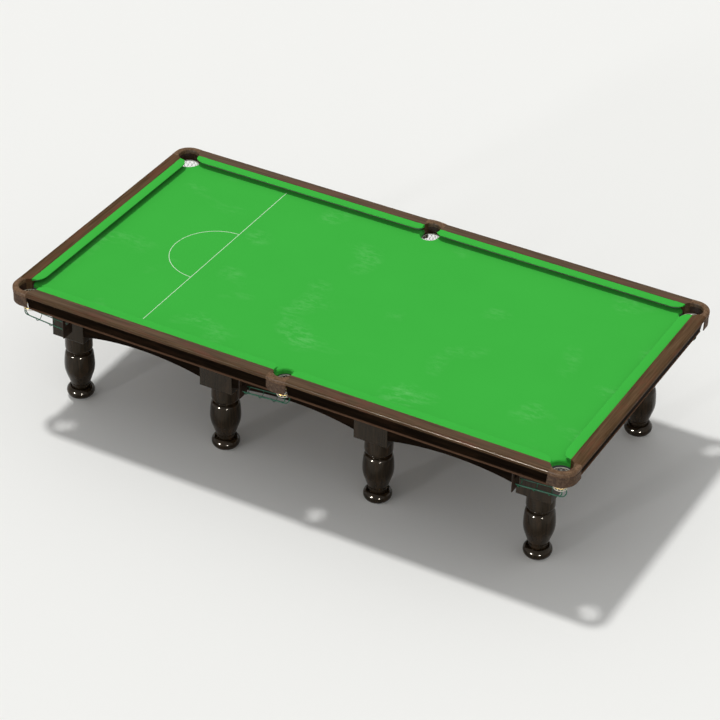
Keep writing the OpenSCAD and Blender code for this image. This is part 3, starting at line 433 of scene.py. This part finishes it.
def quarterOutline():
    # Edge of a quarter of the bed: x, y and the way in which the cloth turns down there, if it does
    size = bedSize
    points = []
    edgeX, edgeY = halfLength + cushionWidth, -halfWidth - cushionWidth
    radius = size["middleFall"] + size["fallRound"]
    centreY = -halfWidth - size["middleFallSet"]
    for i in range(size["arcSteps"] + 1):
        turn = math.radians(90 - 90 * i / size["arcSteps"])
        points.append((radius * math.cos(turn), centreY + radius * math.sin(turn), -math.cos(turn), -math.sin(turn)))
    points.append((radius, edgeY, -1, 0))
    radius = size["cornerFall"] + size["fallRound"]
    centre = (halfLength + size["cornerFallSet"], -halfWidth - size["cornerFallSet"])
    past = math.degrees(math.acos((cushionWidth - size["cornerFallSet"]) / radius))
    for i in range(2 * size["arcSteps"] + 1):
        turn = math.radians(270 - past + (2 * past - 270) * i / (2 * size["arcSteps"]))
        points.append((centre[0] + radius * math.cos(turn), centre[1] + radius * math.sin(turn),
            -math.cos(turn), -math.sin(turn)))
    points.append((edgeX, 0.0, 0, 0))
    return points


def makeBedCloth():
    size = bedSize
    quarter = quarterOutline()
    outline = list(quarter)
    outline += [(x, -y, dx, -dy) for x, y, dx, dy in reversed(quarter[:-1])]
    outline += [(-x, -y, -dx, -dy) for x, y, dx, dy in quarter[1:]]
    outline += [(-x, y, -dx, dy) for x, y, dx, dy in reversed(quarter[1:-1])]
    bm = bmesh.new()
    inward = bm.verts.layers.float_vector.new("inward")
    start = bm.verts.layers.float_vector.new("start")
    verts = []
    for x, y, dx, dy in outline:
        vert = bm.verts.new((x, y, clothTop))
        vert[inward] = (dx, dy, 0)
        vert[start] = (x, y, clothTop)
        verts.append(vert)
    flat = bm.faces.new(verts)
    flat.normal_update()
    bmesh.ops.inset_region(bm, faces=[flat], thickness=size["border"], use_boundary=True, use_even_offset=True)
    lip = [e for e in bm.edges if e.is_boundary and e.calc_length() < size["lipEdge"]
        and all(v[inward].length > 0.5 for v in e.verts)]
    bend = size["fallRound"] + size["thickness"]
    path = [(bend * math.sin(a), bend * math.cos(a) - bend)
        for a in [math.pi / 2 * i / size["bendSteps"] for i in range(1, size["bendSteps"] + 1)]]
    path.append((bend, -size["turnDown"]))
    for reach, drop in path:
        grown = bmesh.ops.extrude_edge_only(bm, edges=lip)["geom"]
        fresh = {g for g in grown if isinstance(g, bmesh.types.BMVert)}
        for vert in fresh:
            vert.co = Vector(vert[start]) + Vector(vert[inward]) * reach + Vector((0, 0, drop))
        lip = [g for g in grown if isinstance(g, bmesh.types.BMEdge) and all(v in fresh for v in g.verts)]
    bmesh.ops.recalc_face_normals(bm, faces=bm.faces[:])
    if max(bm.faces, key=lambda f: f.calc_area()).normal.z < 0:
        bmesh.ops.reverse_faces(bm, faces=bm.faces[:])
    flatArea = sum(f.calc_area() for f in bm.faces)
    mesh = bpy.data.meshes.new("bed_cloth_sheet")
    bm.to_mesh(mesh)
    bm.free()
    mesh.materials.append(bedWool)
    mesh.shade_smooth()
    mesh.set_sharp_from_angle(angle=math.radians(35))
    max(mesh.polygons, key=lambda p: p.area).use_smooth = False  # keeps the flat bed evenly lit
    cloth = bpy.data.objects.new("bed_cloth_sheet", mesh)
    bpy.context.scene.collection.objects.link(cloth)
    shell = cloth.modifiers.new("thickness", "SOLIDIFY")
    shell.thickness = size["thickness"]
    shell.offset = -1
    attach(cloth, "table")
    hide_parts("bed_cloth")
    return cloth, flatArea


markSize = {
    "baulk": 0.737,
    "dRadius": 0.292,
    "width": 0.004,
    "lift": 0.0003,
    "past": 0.005,
    "steps": 72,
}


def makeMarkings():
    size = markSize
    lineX = size["baulk"] - halfLength
    half = size["width"] / 2
    bm = bmesh.new()
    reach = halfWidth + size["past"]  # the line ends a little past the cushions' noses
    corners = [(lineX - half, -reach), (lineX + half, -reach), (lineX + half, reach), (lineX - half, reach)]
    bm.faces.new([bm.verts.new((x, y, clothTop)) for x, y in corners])
    arc = [bm.verts.new((lineX, size["dRadius"] + s * half, clothTop)) for s in (-1, 1)]
    edge = bm.edges.new(arc)
    turnGeometry(bm, arc + [edge], (lineX, 0, clothTop), math.pi, size["steps"])
    bmesh.ops.recalc_face_normals(bm, faces=bm.faces[:])
    for face in bm.faces:
        if face.normal.z < 0:
            face.normal_flip()
    grown = bmesh.ops.extrude_face_region(bm, geom=bm.faces[:])
    bmesh.ops.translate(bm, vec=(0, 0, size["lift"]), verts=newVerts(grown))
    return finishPiece("baulk_line_and_d", bm, chalkWhite)


bedSheet, bedArea = makeBedCloth()
markings = makeMarkings()
print("bed cloth and markings made", round(bedArea, 3))


# Cushions: a section drawn along each rail, its nose turned into the pockets at both ends

cushionSize = {
    "noseHeight": 0.035,
    "noseRadius": 0.0035,
    "rubberWidth": 0.042,
    "rubberLift": 0.0025,
    "cornerJaw": 0.090,
    "cornerJawStart": 0.0995,
    "middleJaw": 0.068,
    "middleJawStart": 0.105,
    "jawSteps": 18,
    "ledgeDrop": 0.005,
    "underSlope": -0.2,
}


def cushionSection(ledge):
    size = cushionSize
    rise = railTop - clothTop
    width = cushionWidth
    points = [(width, rise - 0.0025), (width - 0.0012, rise - 0.0008), (width - 0.004, rise)]  # tucked back edge
    points += arcPoints(size["noseRadius"], size["noseHeight"], size["noseRadius"], 95, 220, 10)
    points.append((size["rubberWidth"], size["rubberLift"]))
    if ledge:
        points.append((size["rubberWidth"], rise - size["ledgeDrop"]))
    else:
        points.append((width, size["rubberLift"]))
    return points


def cushionJaw(at, radius, sign, pocketAt, pocketSet, pocketRadius):
    size = cushionSize
    bm = bmesh.new()
    verts = [bm.verts.new((at, -v, clothTop + z)) for v, z in cushionSection(False)]
    edges = bm.faces.new(verts).edges[:]
    turnGeometry(bm, verts + edges, (at, -radius, 0), -sign * math.pi / 2, size["jawSteps"])
    bmesh.ops.bisect_plane(bm, geom=bm.verts[:] + bm.edges[:] + bm.faces[:], dist=1e-6,
        plane_co=(0, -cushionWidth, 0), plane_no=(0, -1, 0), clear_outer=True, clear_inner=False)
    closeHoles(bm)
    bmesh.ops.remove_doubles(bm, verts=bm.verts[:], dist=1e-6)
    low, high = clothTop - cutPast, railTop + cutPast
    tool = spinSection([(0, low), (pocketRadius, low), (pocketRadius, high), (0, high)], (pocketAt, -pocketSet), 360,
        96)
    return combine(bm, tool)


def makeCushion(index, signX, signY, isEnd):
    size = cushionSize
    pocket = pocketSize
    if isEnd:
        start, end = size["cornerJawStart"] - halfWidth, halfWidth - size["cornerJawStart"]
        jaws = [(start, size["cornerJaw"], -1, -halfWidth - pocket["cornerSet"], pocket["cornerSet"],
            pocket["cornerInner"]),
            (end, size["cornerJaw"], 1, halfWidth + pocket["cornerSet"], pocket["cornerSet"],
            pocket["cornerInner"])]
        place = Matrix.Translation((halfLength, 0, 0)) @ Matrix.Rotation(math.pi / 2, 4, "Z")
    else:
        start, end = size["middleJawStart"], halfLength - size["cornerJawStart"]
        jaws = [(start, size["middleJaw"], -1, 0.0, pocket["middleSet"], pocket["middleInner"]),
            (end, size["cornerJaw"], 1, halfLength + pocket["cornerSet"], pocket["cornerSet"],
            pocket["cornerInner"])]
        place = Matrix.Translation((0, -halfWidth, 0))
    whole = bmesh.new()
    face = whole.faces.new([whole.verts.new((start, -v, clothTop + z)) for v, z in cushionSection(True)])
    grown = bmesh.ops.extrude_face_region(whole, geom=[face])
    bmesh.ops.translate(whole, vec=(end - start, 0, 0), verts=newVerts(grown))
    for jaw in jaws:
        whole = combine(whole, cushionJaw(*jaw), "UNION")
    bmesh.ops.transform(whole, matrix=place, verts=whole.verts[:])
    mirrorTo(whole, signX, signY)
    bmesh.ops.recalc_face_normals(whole, faces=whole.faces[:])
    # Faces that point downward under the nose get the near-black painted shade
    for face in whole.faces:
        if face.normal.z < size["underSlope"]:
            face.material_index = 1
    cushion = finishPiece(f"cushion_cloth_{index}", whole, (cushionWool, cushionUnderPaintedShade),
        stands=[f"cushion_{index}"])


for spot in railSpots:
    makeCushion(*spot)
print("cushions made")


# Pocket leathers: a padded rim, an outer skirt with nails along its top, and an inner wall

leatherSize = {
    "rimHeight": 0.028,
    "rimRound": 0.010,
    "skirtFoot": 0.100,
    "skirtBack": 0.003,
    "skirtThick": 0.006,
    "skirtLap": 0.004,
    "skirtHem": 0.002,
    "linerFoot": 0.084,
    "linerThick": 0.004,
    "cornerReachIn": 0.002,
    "middleHalf": 0.066,
    "middleBulge": 0.008,
    "middleIn": 0.090,
    "flapRound": 0.034,
    "nailRadius": 0.0042,
    "nailStep": 0.021,
    "nailDrop": 0.036,
    "nailFlat": 0.55,
    "footSpread": 0.008,
    "armStart": 0.03,
    "steps": 26,
}


def rimSection(inner, reach):
    size = leatherSize
    low = railTop - size["rimHeight"]
    points = [(inner, low), (reach - 0.003, low), (reach, low + 0.004)]
    points += arcPoints(reach - size["rimRound"], railTop - size["rimRound"], size["rimRound"], 0, 90, 8)
    points.append((inner, railTop))
    return points


def skirtSection(reach):
    size = leatherSize
    outer = reach - size["skirtBack"]
    hem = size["skirtHem"]
    low, high = railTop - size["skirtFoot"], railTop - size["rimHeight"] + size["skirtLap"]
    return [(outer - size["skirtThick"], low), (outer - hem, low), (outer, low + hem), (outer, high),
        (outer - size["skirtThick"], high)]


def cornerSweep(section, arm):
    bm = bmesh.new()
    verts = [bm.verts.new((-arm, -d, z)) for d, z in section]
    edges = bm.faces.new(verts).edges[:]
    grown = bmesh.ops.extrude_edge_only(bm, edges=edges)["geom"]
    fresh = [g for g in grown if isinstance(g, bmesh.types.BMVert)]
    bmesh.ops.translate(bm, vec=(arm, 0, 0), verts=fresh)
    edges = [g for g in grown if isinstance(g, bmesh.types.BMEdge) and all(v in fresh for v in g.verts)]
    spun = turnGeometry(bm, fresh + edges, (0, 0, 0), math.pi / 2, leatherSize["steps"])
    edges = [g for g in spun if isinstance(g, bmesh.types.BMEdge)]
    grown = bmesh.ops.extrude_edge_only(bm, edges=edges)["geom"]
    fresh = [g for g in grown if isinstance(g, bmesh.types.BMVert)]
    bmesh.ops.translate(bm, vec=(0, arm, 0), verts=fresh)
    closeHoles(bm)
    return bm


def mouthTool(radius):
    size = leatherSize
    curve = arcPoints(radius + size["rimRound"], railTop - size["rimRound"], size["rimRound"], 180, 90, 8)
    points = [(0, railTop - 0.2), (radius, railTop - 0.2)] + curve
    points += [(radius + size["rimRound"], railTop + 0.02), (0, railTop + 0.02)]
    return spinSection(points, (0, 0), 360, 96)


def middleBow():
    size = leatherSize
    return (size["middleHalf"] ** 2 + size["middleBulge"] ** 2) / (2 * size["middleBulge"])


def middleSweep(section, reach):
    # The section turns about the centre of the shallow bow; distances are from the pocket's axis
    bow = middleBow()
    shifted = [(bow - reach + d, z) for d, z in section]
    centre = (0, bow - reach)
    return spinSection(shifted, centre, 40, leatherSize["steps"], start=-110)  # 20 degrees to each side


def middleBox(low, high, rounding):
    size = leatherSize
    bm = bmesh.new()
    inward = -(size["middleIn"] - pocketSize["middleSet"])
    outward = -(railOuter + cutPast)
    bmesh.ops.create_cube(bm, size=1.0)
    bmesh.ops.scale(bm, vec=(2 * size["middleHalf"], inward - outward, high - low), verts=bm.verts[:])
    bmesh.ops.translate(bm, vec=(0, (inward + outward) / 2, (low + high) / 2), verts=bm.verts[:])
    if rounding:
        edges = [e for e in bm.edges if all(v.co.z < (low + high) / 2 for v in e.verts)
            and abs(e.verts[0].co.x - e.verts[1].co.x) < 1e-6]
        roundEdges(bm, edges, rounding, 10)
    return bm


def nailsAlong(spots):
    bm = bmesh.new()
    radius = leatherSize["nailRadius"]
    for x, y, outX, outY in spots:
        turn = Vector((outX, outY, 0)).to_track_quat("Z", "Y").to_matrix().to_4x4()
        place = Matrix.Translation((x, y, railTop - leatherSize["nailDrop"])) @ turn
        flatten = Matrix.Diagonal((1, 1, leatherSize["nailFlat"], 1))
        bmesh.ops.create_uvsphere(bm, u_segments=12, v_segments=8, radius=radius, matrix=place @ flatten)
    return bm


def cornerNailSpots(reach, arm):
    step = leatherSize["nailStep"]
    spots = []
    for i in range(round(arm / step)):
        along = -arm + step * (i + 0.35)  # the first nail is a third of a step in
        spots.append((along, -reach, 0, -1))
        spots.append((reach, -along, 1, 0))
    count = round(reach * math.pi / 2 / step)
    for i in range(count + 1):
        turn = math.radians(-90 + 90 * i / count)
        spots.append((reach * math.cos(turn), reach * math.sin(turn), math.cos(turn), math.sin(turn)))
    return spots


def middleNailSpots(reach):
    bow = middleBow() - leatherSize["skirtBack"]
    half = 0.9 * math.asin(leatherSize["middleHalf"] / bow)  # the row ends short of the skirt's sides
    count = 6
    spots = []
    for i in range(count + 1):
        turn = math.radians(-90) + (i / count - 0.5) * 2 * half
        spots.append((bow * math.cos(turn), bow - reach + bow * math.sin(turn), math.cos(turn), math.sin(turn)))
    return spots


def makeLeather(index, signX, signY, middle):
    size = leatherSize
    radius = pocketSize["middleInner" if middle else "cornerInner"]
    low = railTop - size["skirtFoot"]
    rimLow = railTop - size["rimHeight"]
    lineLow = railTop - size["linerFoot"]
    lineSection = [(radius, lineLow), (radius + size["linerThick"], lineLow), (radius + size["linerThick"], rimLow),
        (radius, rimLow)]
    if middle:
        axis = (0, -halfWidth - pocketSize["middleSet"], 0)
        reach = railOuter + size["middleBulge"] - pocketSize["middleSet"]
        rim = combine(middleSweep(rimSection(size["armStart"], reach), reach),
            middleBox(rimLow - 0.01, railTop + 0.01, 0), "INTERSECT")
        skirt = combine(middleSweep(skirtSection(reach), reach), middleBox(low, rimLow + 0.02, size["flapRound"]),
            "INTERSECT")
        past = math.degrees(math.asin((size["middleIn"] - pocketSize["middleSet"]) / radius))
        liner = spinSection(lineSection, (0, 0), 180 - 2 * past, 24, start=180 + past)
        spots = middleNailSpots(reach - size["skirtBack"])
    else:
        axis = (halfLength + pocketSize["cornerSet"], -halfWidth - pocketSize["cornerSet"], 0)
        reach = railOuter - pocketSize["cornerSet"]
        arm = pocketSize["cornerSet"] + size["cornerReachIn"]
        rim = cornerSweep(rimSection(size["armStart"], reach), arm)
        skirt = cornerSweep(skirtSection(reach), arm)
        for vert in skirt.verts:
            if vert.co.z < low + 0.01:  # the skirt's foot spreads a little past its ends
                if vert.co.x < -arm + 1e-4:
                    vert.co.x -= size["footSpread"]
                if vert.co.y > arm - 1e-4:
                    vert.co.y += size["footSpread"]
        past = math.degrees(math.acos(arm / radius))
        liner = spinSection(lineSection, (0, 0), 270 - 2 * past, 40, start=180 + past)
        spots = cornerNailSpots(reach - size["skirtBack"], arm)
    # The inner wall takes the dark liner leather: darker leather plus painted shade inside the pocket
    for face in liner.faces:
        face.material_index = 1
    for face in skirt.faces:
        face.material_index = 2
    body = combine(rim, mouthTool(radius))
    joinInto(body, skirt)
    joinInto(body, liner)
    nails = nailsAlong(spots)
    for part in (body, nails):
        bmesh.ops.translate(part, vec=axis, verts=part.verts[:])
        mirrorTo(part, signX, signY)
    leather = finishPiece(f"pocket_leather_cover_{index}", body, (rimLeather, linerLeatherPaintedShade, pocketLeather),
        stands=[f"pocket_leather_{index}"], sharp=40)
    finishPiece(f"pocket_nails_{index}", nails, nailBronze)


for spot in pocketSpots:
    makeLeather(*spot)
print("pocket leathers made")


# Nets: two sets of crossing cords between a rope at the top and the brass ring

netSize = {
    "topDrop": 0.0775,
    "bandDrop": 0.096,
    "collar": 0.0423,
    "collarHalf": 0.012,
    "cornerTop": 0.0652,
    "middleHalf": 0.0515,
    "middleNear": 0.026,
    "middleFar": 0.0547,
    "cords": 14,
    "twist": 1.2,
    "points": 18,
    "ropePoints": 48,
    "cordRadius": 0.0012,
    "ropeRadius": 0.0020,
    "knotRadius": 0.0024,
}


def netPoint(middle, turn, t):
    size = netSize
    top, band = railTop - size["topDrop"], railTop - size["bandDrop"]
    foot = ringLevel - size["collarHalf"]
    z = top + (foot - top) * t
    neck = ringLevel + size["collarHalf"]
    blend = min(1.0, max(0.0, (band - z) / (band - neck)))
    if not middle:
        blend = (1 - math.cos(math.pi * blend)) / 2
    c, s = math.cos(turn), math.sin(turn)
    if middle:
        topX = size["middleHalf"] * c
        topV = (size["middleFar"] if s > 0 else size["middleNear"]) + size["middleHalf"] * s
        axisV = pocketSize["middleRingSet"]
    else:
        topX = pocketSize["cornerSet"] + size["cornerTop"] * c
        topV = pocketSize["cornerSet"] + size["cornerTop"] * s
        axisV = pocketSize["cornerSet"]
    ringX = size["collar"] * c + (0 if middle else pocketSize["cornerSet"])
    ringV = axisV + size["collar"] * s
    x = topX + (ringX - topX) * blend
    v = topV + (ringV - topV) * blend
    return Vector((x + (0 if middle else halfLength), -halfWidth - v, z))


def addStrand(curve, points, cyclic=False):
    spline = curve.splines.new("POLY")
    spline.points.add(len(points) - 1)
    for target, point in zip(spline.points, points):
        target.co = (*point, 1)
    spline.use_cyclic_u = cyclic


def curveToBm(curve):
    temp = bpy.data.objects.new("strands", curve)
    bpy.context.scene.collection.objects.link(temp)
    bpy.context.view_layer.update()
    mesh = bpy.data.meshes.new_from_object(temp.evaluated_get(bpy.context.evaluated_depsgraph_get()))
    bm = bmesh.new()
    bm.from_mesh(mesh)
    bpy.data.objects.remove(temp)
    bpy.data.curves.remove(curve)
    bpy.data.meshes.remove(mesh)
    return bm


def strandCurve(name, radius):
    curve = bpy.data.curves.new(name, "CURVE")
    curve.dimensions = "3D"
    curve.bevel_depth = radius
    curve.bevel_resolution = 1
    curve.use_fill_caps = True
    return curve


def makeNet(index, signX, signY, middle):
    size = netSize
    cords = strandCurve("net_cords", size["cordRadius"])
    count = size["points"]
    for k in range(size["cords"]):
        for side in (-1, 1):
            base = 2 * math.pi * k / size["cords"]
            addStrand(cords, [netPoint(middle, base + side * size["twist"] * i / count, i / count)
                for i in range(count + 1)])
    bm = curveToBm(cords)
    rope = strandCurve("net_rope", size["ropeRadius"])
    for t in (0.0, 1.0):
        addStrand(rope, [netPoint(middle, 2 * math.pi * i / size["ropePoints"], t)
            for i in range(size["ropePoints"])], cyclic=True)
    joinInto(bm, curveToBm(rope))
    step = math.pi / size["cords"] / size["twist"]
    for row in range(1, int(1 / step)):
        for k in range(size["cords"]):
            turn = 2 * math.pi * (k + row / 2) / size["cords"]
            bmesh.ops.create_icosphere(bm, subdivisions=1, radius=size["knotRadius"],
                matrix=Matrix.Translation(netPoint(middle, turn, row * step)))
    mirrorTo(bm, signX, signY)
    finishPiece(f"net_cords_{index}", bm, netCotton, stands=[f"pocket_net_{index}"], sharp=60)


for spot in pocketSpots:
    makeNet(*spot)
print("nets made")


# Leather straps that end the ball runners

strapSize = {
    "length": 0.275,
    "thick": 0.005,
    "padHalf": 0.037,
    "hangerIn": 0.070,
    "hangerOut": 0.098,
    "hangerTop": 0.766,
    "padLow": 0.5993,
    "padHigh": 0.6773,
    "round": 0.008,
    "edgeRound": 0.0012,
}


def makeStrap(index, signX, signY, middle):
    size = strapSize
    setOut = pocketSize["middleRingSet"] if middle else pocketSize["cornerSet"]
    axisX = 0 if middle else halfLength + pocketSize["cornerSet"]
    x = axisX - size["length"] - size["thick"]
    out = size["hangerOut"] - setOut
    inn = size["hangerIn"] - setOut
    outline = [(-size["padHalf"], size["padLow"]), (out, size["padLow"]), (out, size["hangerTop"]),
        (inn, size["hangerTop"]), (inn, size["padHigh"]), (-size["padHalf"], size["padHigh"])]
    bm = bmesh.new()
    face = bm.faces.new([bm.verts.new((x, -halfWidth - setOut - v, z)) for v, z in outline])
    grown = bmesh.ops.extrude_face_region(bm, geom=[face])
    bmesh.ops.translate(bm, vec=(size["thick"], 0, 0), verts=newVerts(grown))
    corners = [e for e in bm.edges if abs(e.verts[0].co.x - e.verts[1].co.x) > 1e-4
        and e.verts[0].co.z < size["hangerTop"] - 1e-4]
    roundEdges(bm, corners, size["round"], 5)
    rims = [e for e in bm.edges if e.is_manifold and e.calc_face_angle(0) > 1.2]
    roundEdges(bm, rims, size["edgeRound"], 2)
    mirrorTo(bm, signX, signY)
    finishPiece(f"runner_strap_{index}", bm, strapLeather, stands=["runner_straps"])


for spot in pocketSpots:
    makeStrap(*spot)
print("straps made")


# Legs: a lathe-turned lower part under a square block

legSize = {
    "padShow": 0.003,
    "padRecess": 0.046,
    "recessTop": 0.008,
    "bore": 0.01005,
    "boreTop": 0.090,
    "bunRadius": 0.089,
    "bunRound": 0.040,
    "bunLevel": 0.042,
    "neckRadius": 0.061,
    "neckTop": 0.100,
    "filletRound": 0.005,
    "filletRise": 0.027,
    "neckLip": 0.015,
    "lowerBow": 0.200,
    "lowerTurn": 17,
    "vaseRadius": 0.097,
    "vaseLevel": 0.239,
    "upperBow": 0.562,
    "bowTurn": 9,
    "shoulderRound": 0.0263,
    "shoulderTurn": 50,
    "grooveRadius": 0.073,
    "grooveLevel": 0.348,
    "capRadius": 0.088,
    "capRound": 0.028,
    "blockHalf": 0.114,
    "blockLow": 0.480,
    "blockRound": 0.010,
    "blockEdge": 0.003,
    "steps": 72,
}


def legProfile():
    # Radius and height from the bore, out under the foot and up the turned outline to the block
    size = legSize
    bunAxis = size["bunRadius"] - size["bunRound"]
    startTurn = -math.degrees(math.asin((size["bunLevel"] - size["padShow"]) / size["bunRound"]))
    points = [(0, size["boreTop"]), (size["bore"], size["boreTop"]), (size["bore"], size["recessTop"]),
        (size["padRecess"], size["recessTop"]), (size["padRecess"], size["padShow"])]
    points += arcPoints(bunAxis, size["bunLevel"], size["bunRound"], startTurn, 58, 26)
    points += arcPoints(size["neckRadius"] + size["filletRound"], size["bunLevel"] + size["filletRise"],
        size["filletRound"], 60, 180, 8)
    points.append((size["neckRadius"], size["neckTop"] - 0.006))
    points += arcPoints(size["neckRadius"] + 0.016, size["neckTop"], size["neckLip"], 180, 180 - size["lowerTurn"], 4)
    points += arcPoints(size["vaseRadius"] - size["lowerBow"], size["vaseLevel"], size["lowerBow"],
        -size["lowerTurn"], 0, 16)
    bow, shoulder, turn = size["upperBow"], size["shoulderRound"], math.radians(size["bowTurn"])
    points += arcPoints(size["vaseRadius"] - bow, size["vaseLevel"], bow, 1, size["bowTurn"], 10)
    points += arcPoints(size["vaseRadius"] - bow + (bow - shoulder) * math.cos(turn),
        size["vaseLevel"] + (bow - shoulder) * math.sin(turn), shoulder, size["bowTurn"] + 4, size["shoulderTurn"], 10)
    points += [(size["grooveRadius"], size["grooveLevel"]), (size["grooveRadius"], size["grooveLevel"] + 0.002)]
    capAxis = size["capRadius"] - size["capRound"]
    capLow = size["grooveLevel"] + 0.005 + size["capRound"] * math.sin(math.radians(62))
    points += arcPoints(capAxis, capLow, size["capRound"], -62, 0, 12)
    points += [(size["capRadius"], size["blockLow"] + 0.001), (0, size["blockLow"] + 0.001)]
    return points


def makeLeg(index, x, y):
    size = legSize
    block = bmesh.new()
    bmesh.ops.create_cube(block, size=1.0)
    height = slateUnder - size["blockLow"]
    bmesh.ops.scale(block, vec=(2 * size["blockHalf"], 2 * size["blockHalf"], height), verts=block.verts[:])
    bmesh.ops.translate(block, vec=(0, 0, size["blockLow"] + height / 2), verts=block.verts[:])
    lowEdges = [e for e in block.edges if all(v.co.z < size["blockLow"] + 0.01 for v in e.verts)]
    roundEdges(block, lowEdges, size["blockRound"], 6)
    upright = [e for e in block.edges if abs(e.verts[0].co.z - e.verts[1].co.z) > 0.2]
    roundEdges(block, upright, size["blockEdge"], 3)
    joinInto(block, spinSection(legProfile(), (0, 0), 360, size["steps"]))
    bmesh.ops.translate(block, vec=(x, y, 0), verts=block.verts[:])
    finishPiece(f"turned_leg_{index}", block, legWood, stands=[f"leg_{index}"], sharp=30)


for index in range(1, 9):
    low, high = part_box(f"leg_{index}")
    makeLeg(index, (low.x + high.x) / 2, (low.y + high.y) / 2)
print("legs made")


# Floor, light and camera

floorSize = 60.0
bm = bmesh.new()
bmesh.ops.create_grid(bm, x_segments=1, y_segments=1, size=floorSize / 2)
mesh = bpy.data.meshes.new("floor")
bm.to_mesh(mesh)
bm.free()
floor = bpy.data.objects.new("floor", mesh)
bpy.context.scene.collection.objects.link(floor)
floorMaterial, tree, shader = newMaterial("pale_floor")
shader.inputs["Base Color"].default_value = hexColor("#efefec")
shader.inputs["Roughness"].default_value = 0.9
mesh.materials.append(floorMaterial)

lightLevels = {
    "world": 0.5,
    "key": {"strength": 1.74, "azimuth": 155.0, "elevation": 68.0, "soft": 5.0, "on": "diffuse"},
    "edge": {"strength": 15.0, "azimuth": -109.0, "elevation": 10.0, "soft": 5.0, "on": "glossy"},
    "leg": {"strength": 5.0, "azimuth": -49.0, "elevation": 2.0, "soft": 4.0, "on": "glossy"},
}

world = bpy.data.worlds.new("studio")
bpy.context.scene.world = world
world.use_nodes = True
tree = world.node_tree
background = tree.nodes["Background"]
rays = addNode(tree, "ShaderNodeLightPath")
# White to the camera, in reflections and through glass, while it lights the table at a plain level
seen = addNode(tree, "ShaderNodeMath", {0: rays.outputs["Is Camera Ray"], 1: rays.outputs["Is Glossy Ray"]},
    operation="MAXIMUM")
seen = addNode(tree, "ShaderNodeMath", {0: seen.outputs[0], 1: rays.outputs["Is Transmission Ray"]},
    operation="MAXIMUM")
strength = addNode(tree, "ShaderNodeMapRange", {"Value": seen.outputs[0], "To Min": lightLevels["world"],
    "To Max": 1.0})
background.inputs["Color"].default_value = hexColor("#ffffff")
tree.links.new(strength.outputs["Result"], background.inputs["Strength"])


def addSun(name):
    # Azimuth is where the light comes from, counted anticlockwise from +X
    level = lightLevels[name]
    light = bpy.data.lights.new(name + "_light", "SUN")
    light.energy = level["strength"]
    light.angle = math.radians(level["soft"])
    obj = bpy.data.objects.new(name + "_light", light)
    turn, rise = math.radians(level["azimuth"]), math.radians(level["elevation"])
    source = Vector((math.cos(turn) * math.cos(rise), math.sin(turn) * math.cos(rise), math.sin(rise)))
    obj.rotation_mode = "QUATERNION"
    obj.rotation_quaternion = source.to_track_quat("Z", "Y")
    obj.visible_diffuse = level["on"] == "diffuse"  # the two low lamps only draw highlights on the lacquer
    obj.visible_glossy = level["on"] == "glossy"
    bpy.context.scene.collection.objects.link(obj)


for name in ("key", "edge", "leg"):
    addSun(name)

cameraView = {
    "place": (6.8068, -12.6335, 10.2141),
    "azimuth": 28.288,
    "elevation": 34.36,
    "roll": 1.371,
    "lens": 138.91,
}


def makeCamera():
    azimuth, elevation, roll = (math.radians(cameraView[k]) for k in ("azimuth", "elevation", "roll"))
    back = Vector((math.sin(azimuth) * math.cos(elevation), -math.cos(azimuth) * math.cos(elevation),
        math.sin(elevation)))
    level = Vector((math.cos(azimuth), math.sin(azimuth), 0))
    upright = back.cross(level)
    right = level * math.cos(roll) + upright * math.sin(roll)
    up = -level * math.sin(roll) + upright * math.cos(roll)
    data = bpy.data.cameras.new("camera")
    data.sensor_width = 36.0
    data.lens = cameraView["lens"]
    data.clip_end = 200.0
    camera = bpy.data.objects.new("camera", data)
    axes = Matrix((right, up, back)).transposed().to_4x4()
    camera.matrix_world = Matrix.Translation(cameraView["place"]) @ axes
    bpy.context.scene.collection.objects.link(camera)
    bpy.context.scene.camera = camera


makeCamera()
bpy.context.scene.view_settings.view_transform = "Standard"
print("stage made")
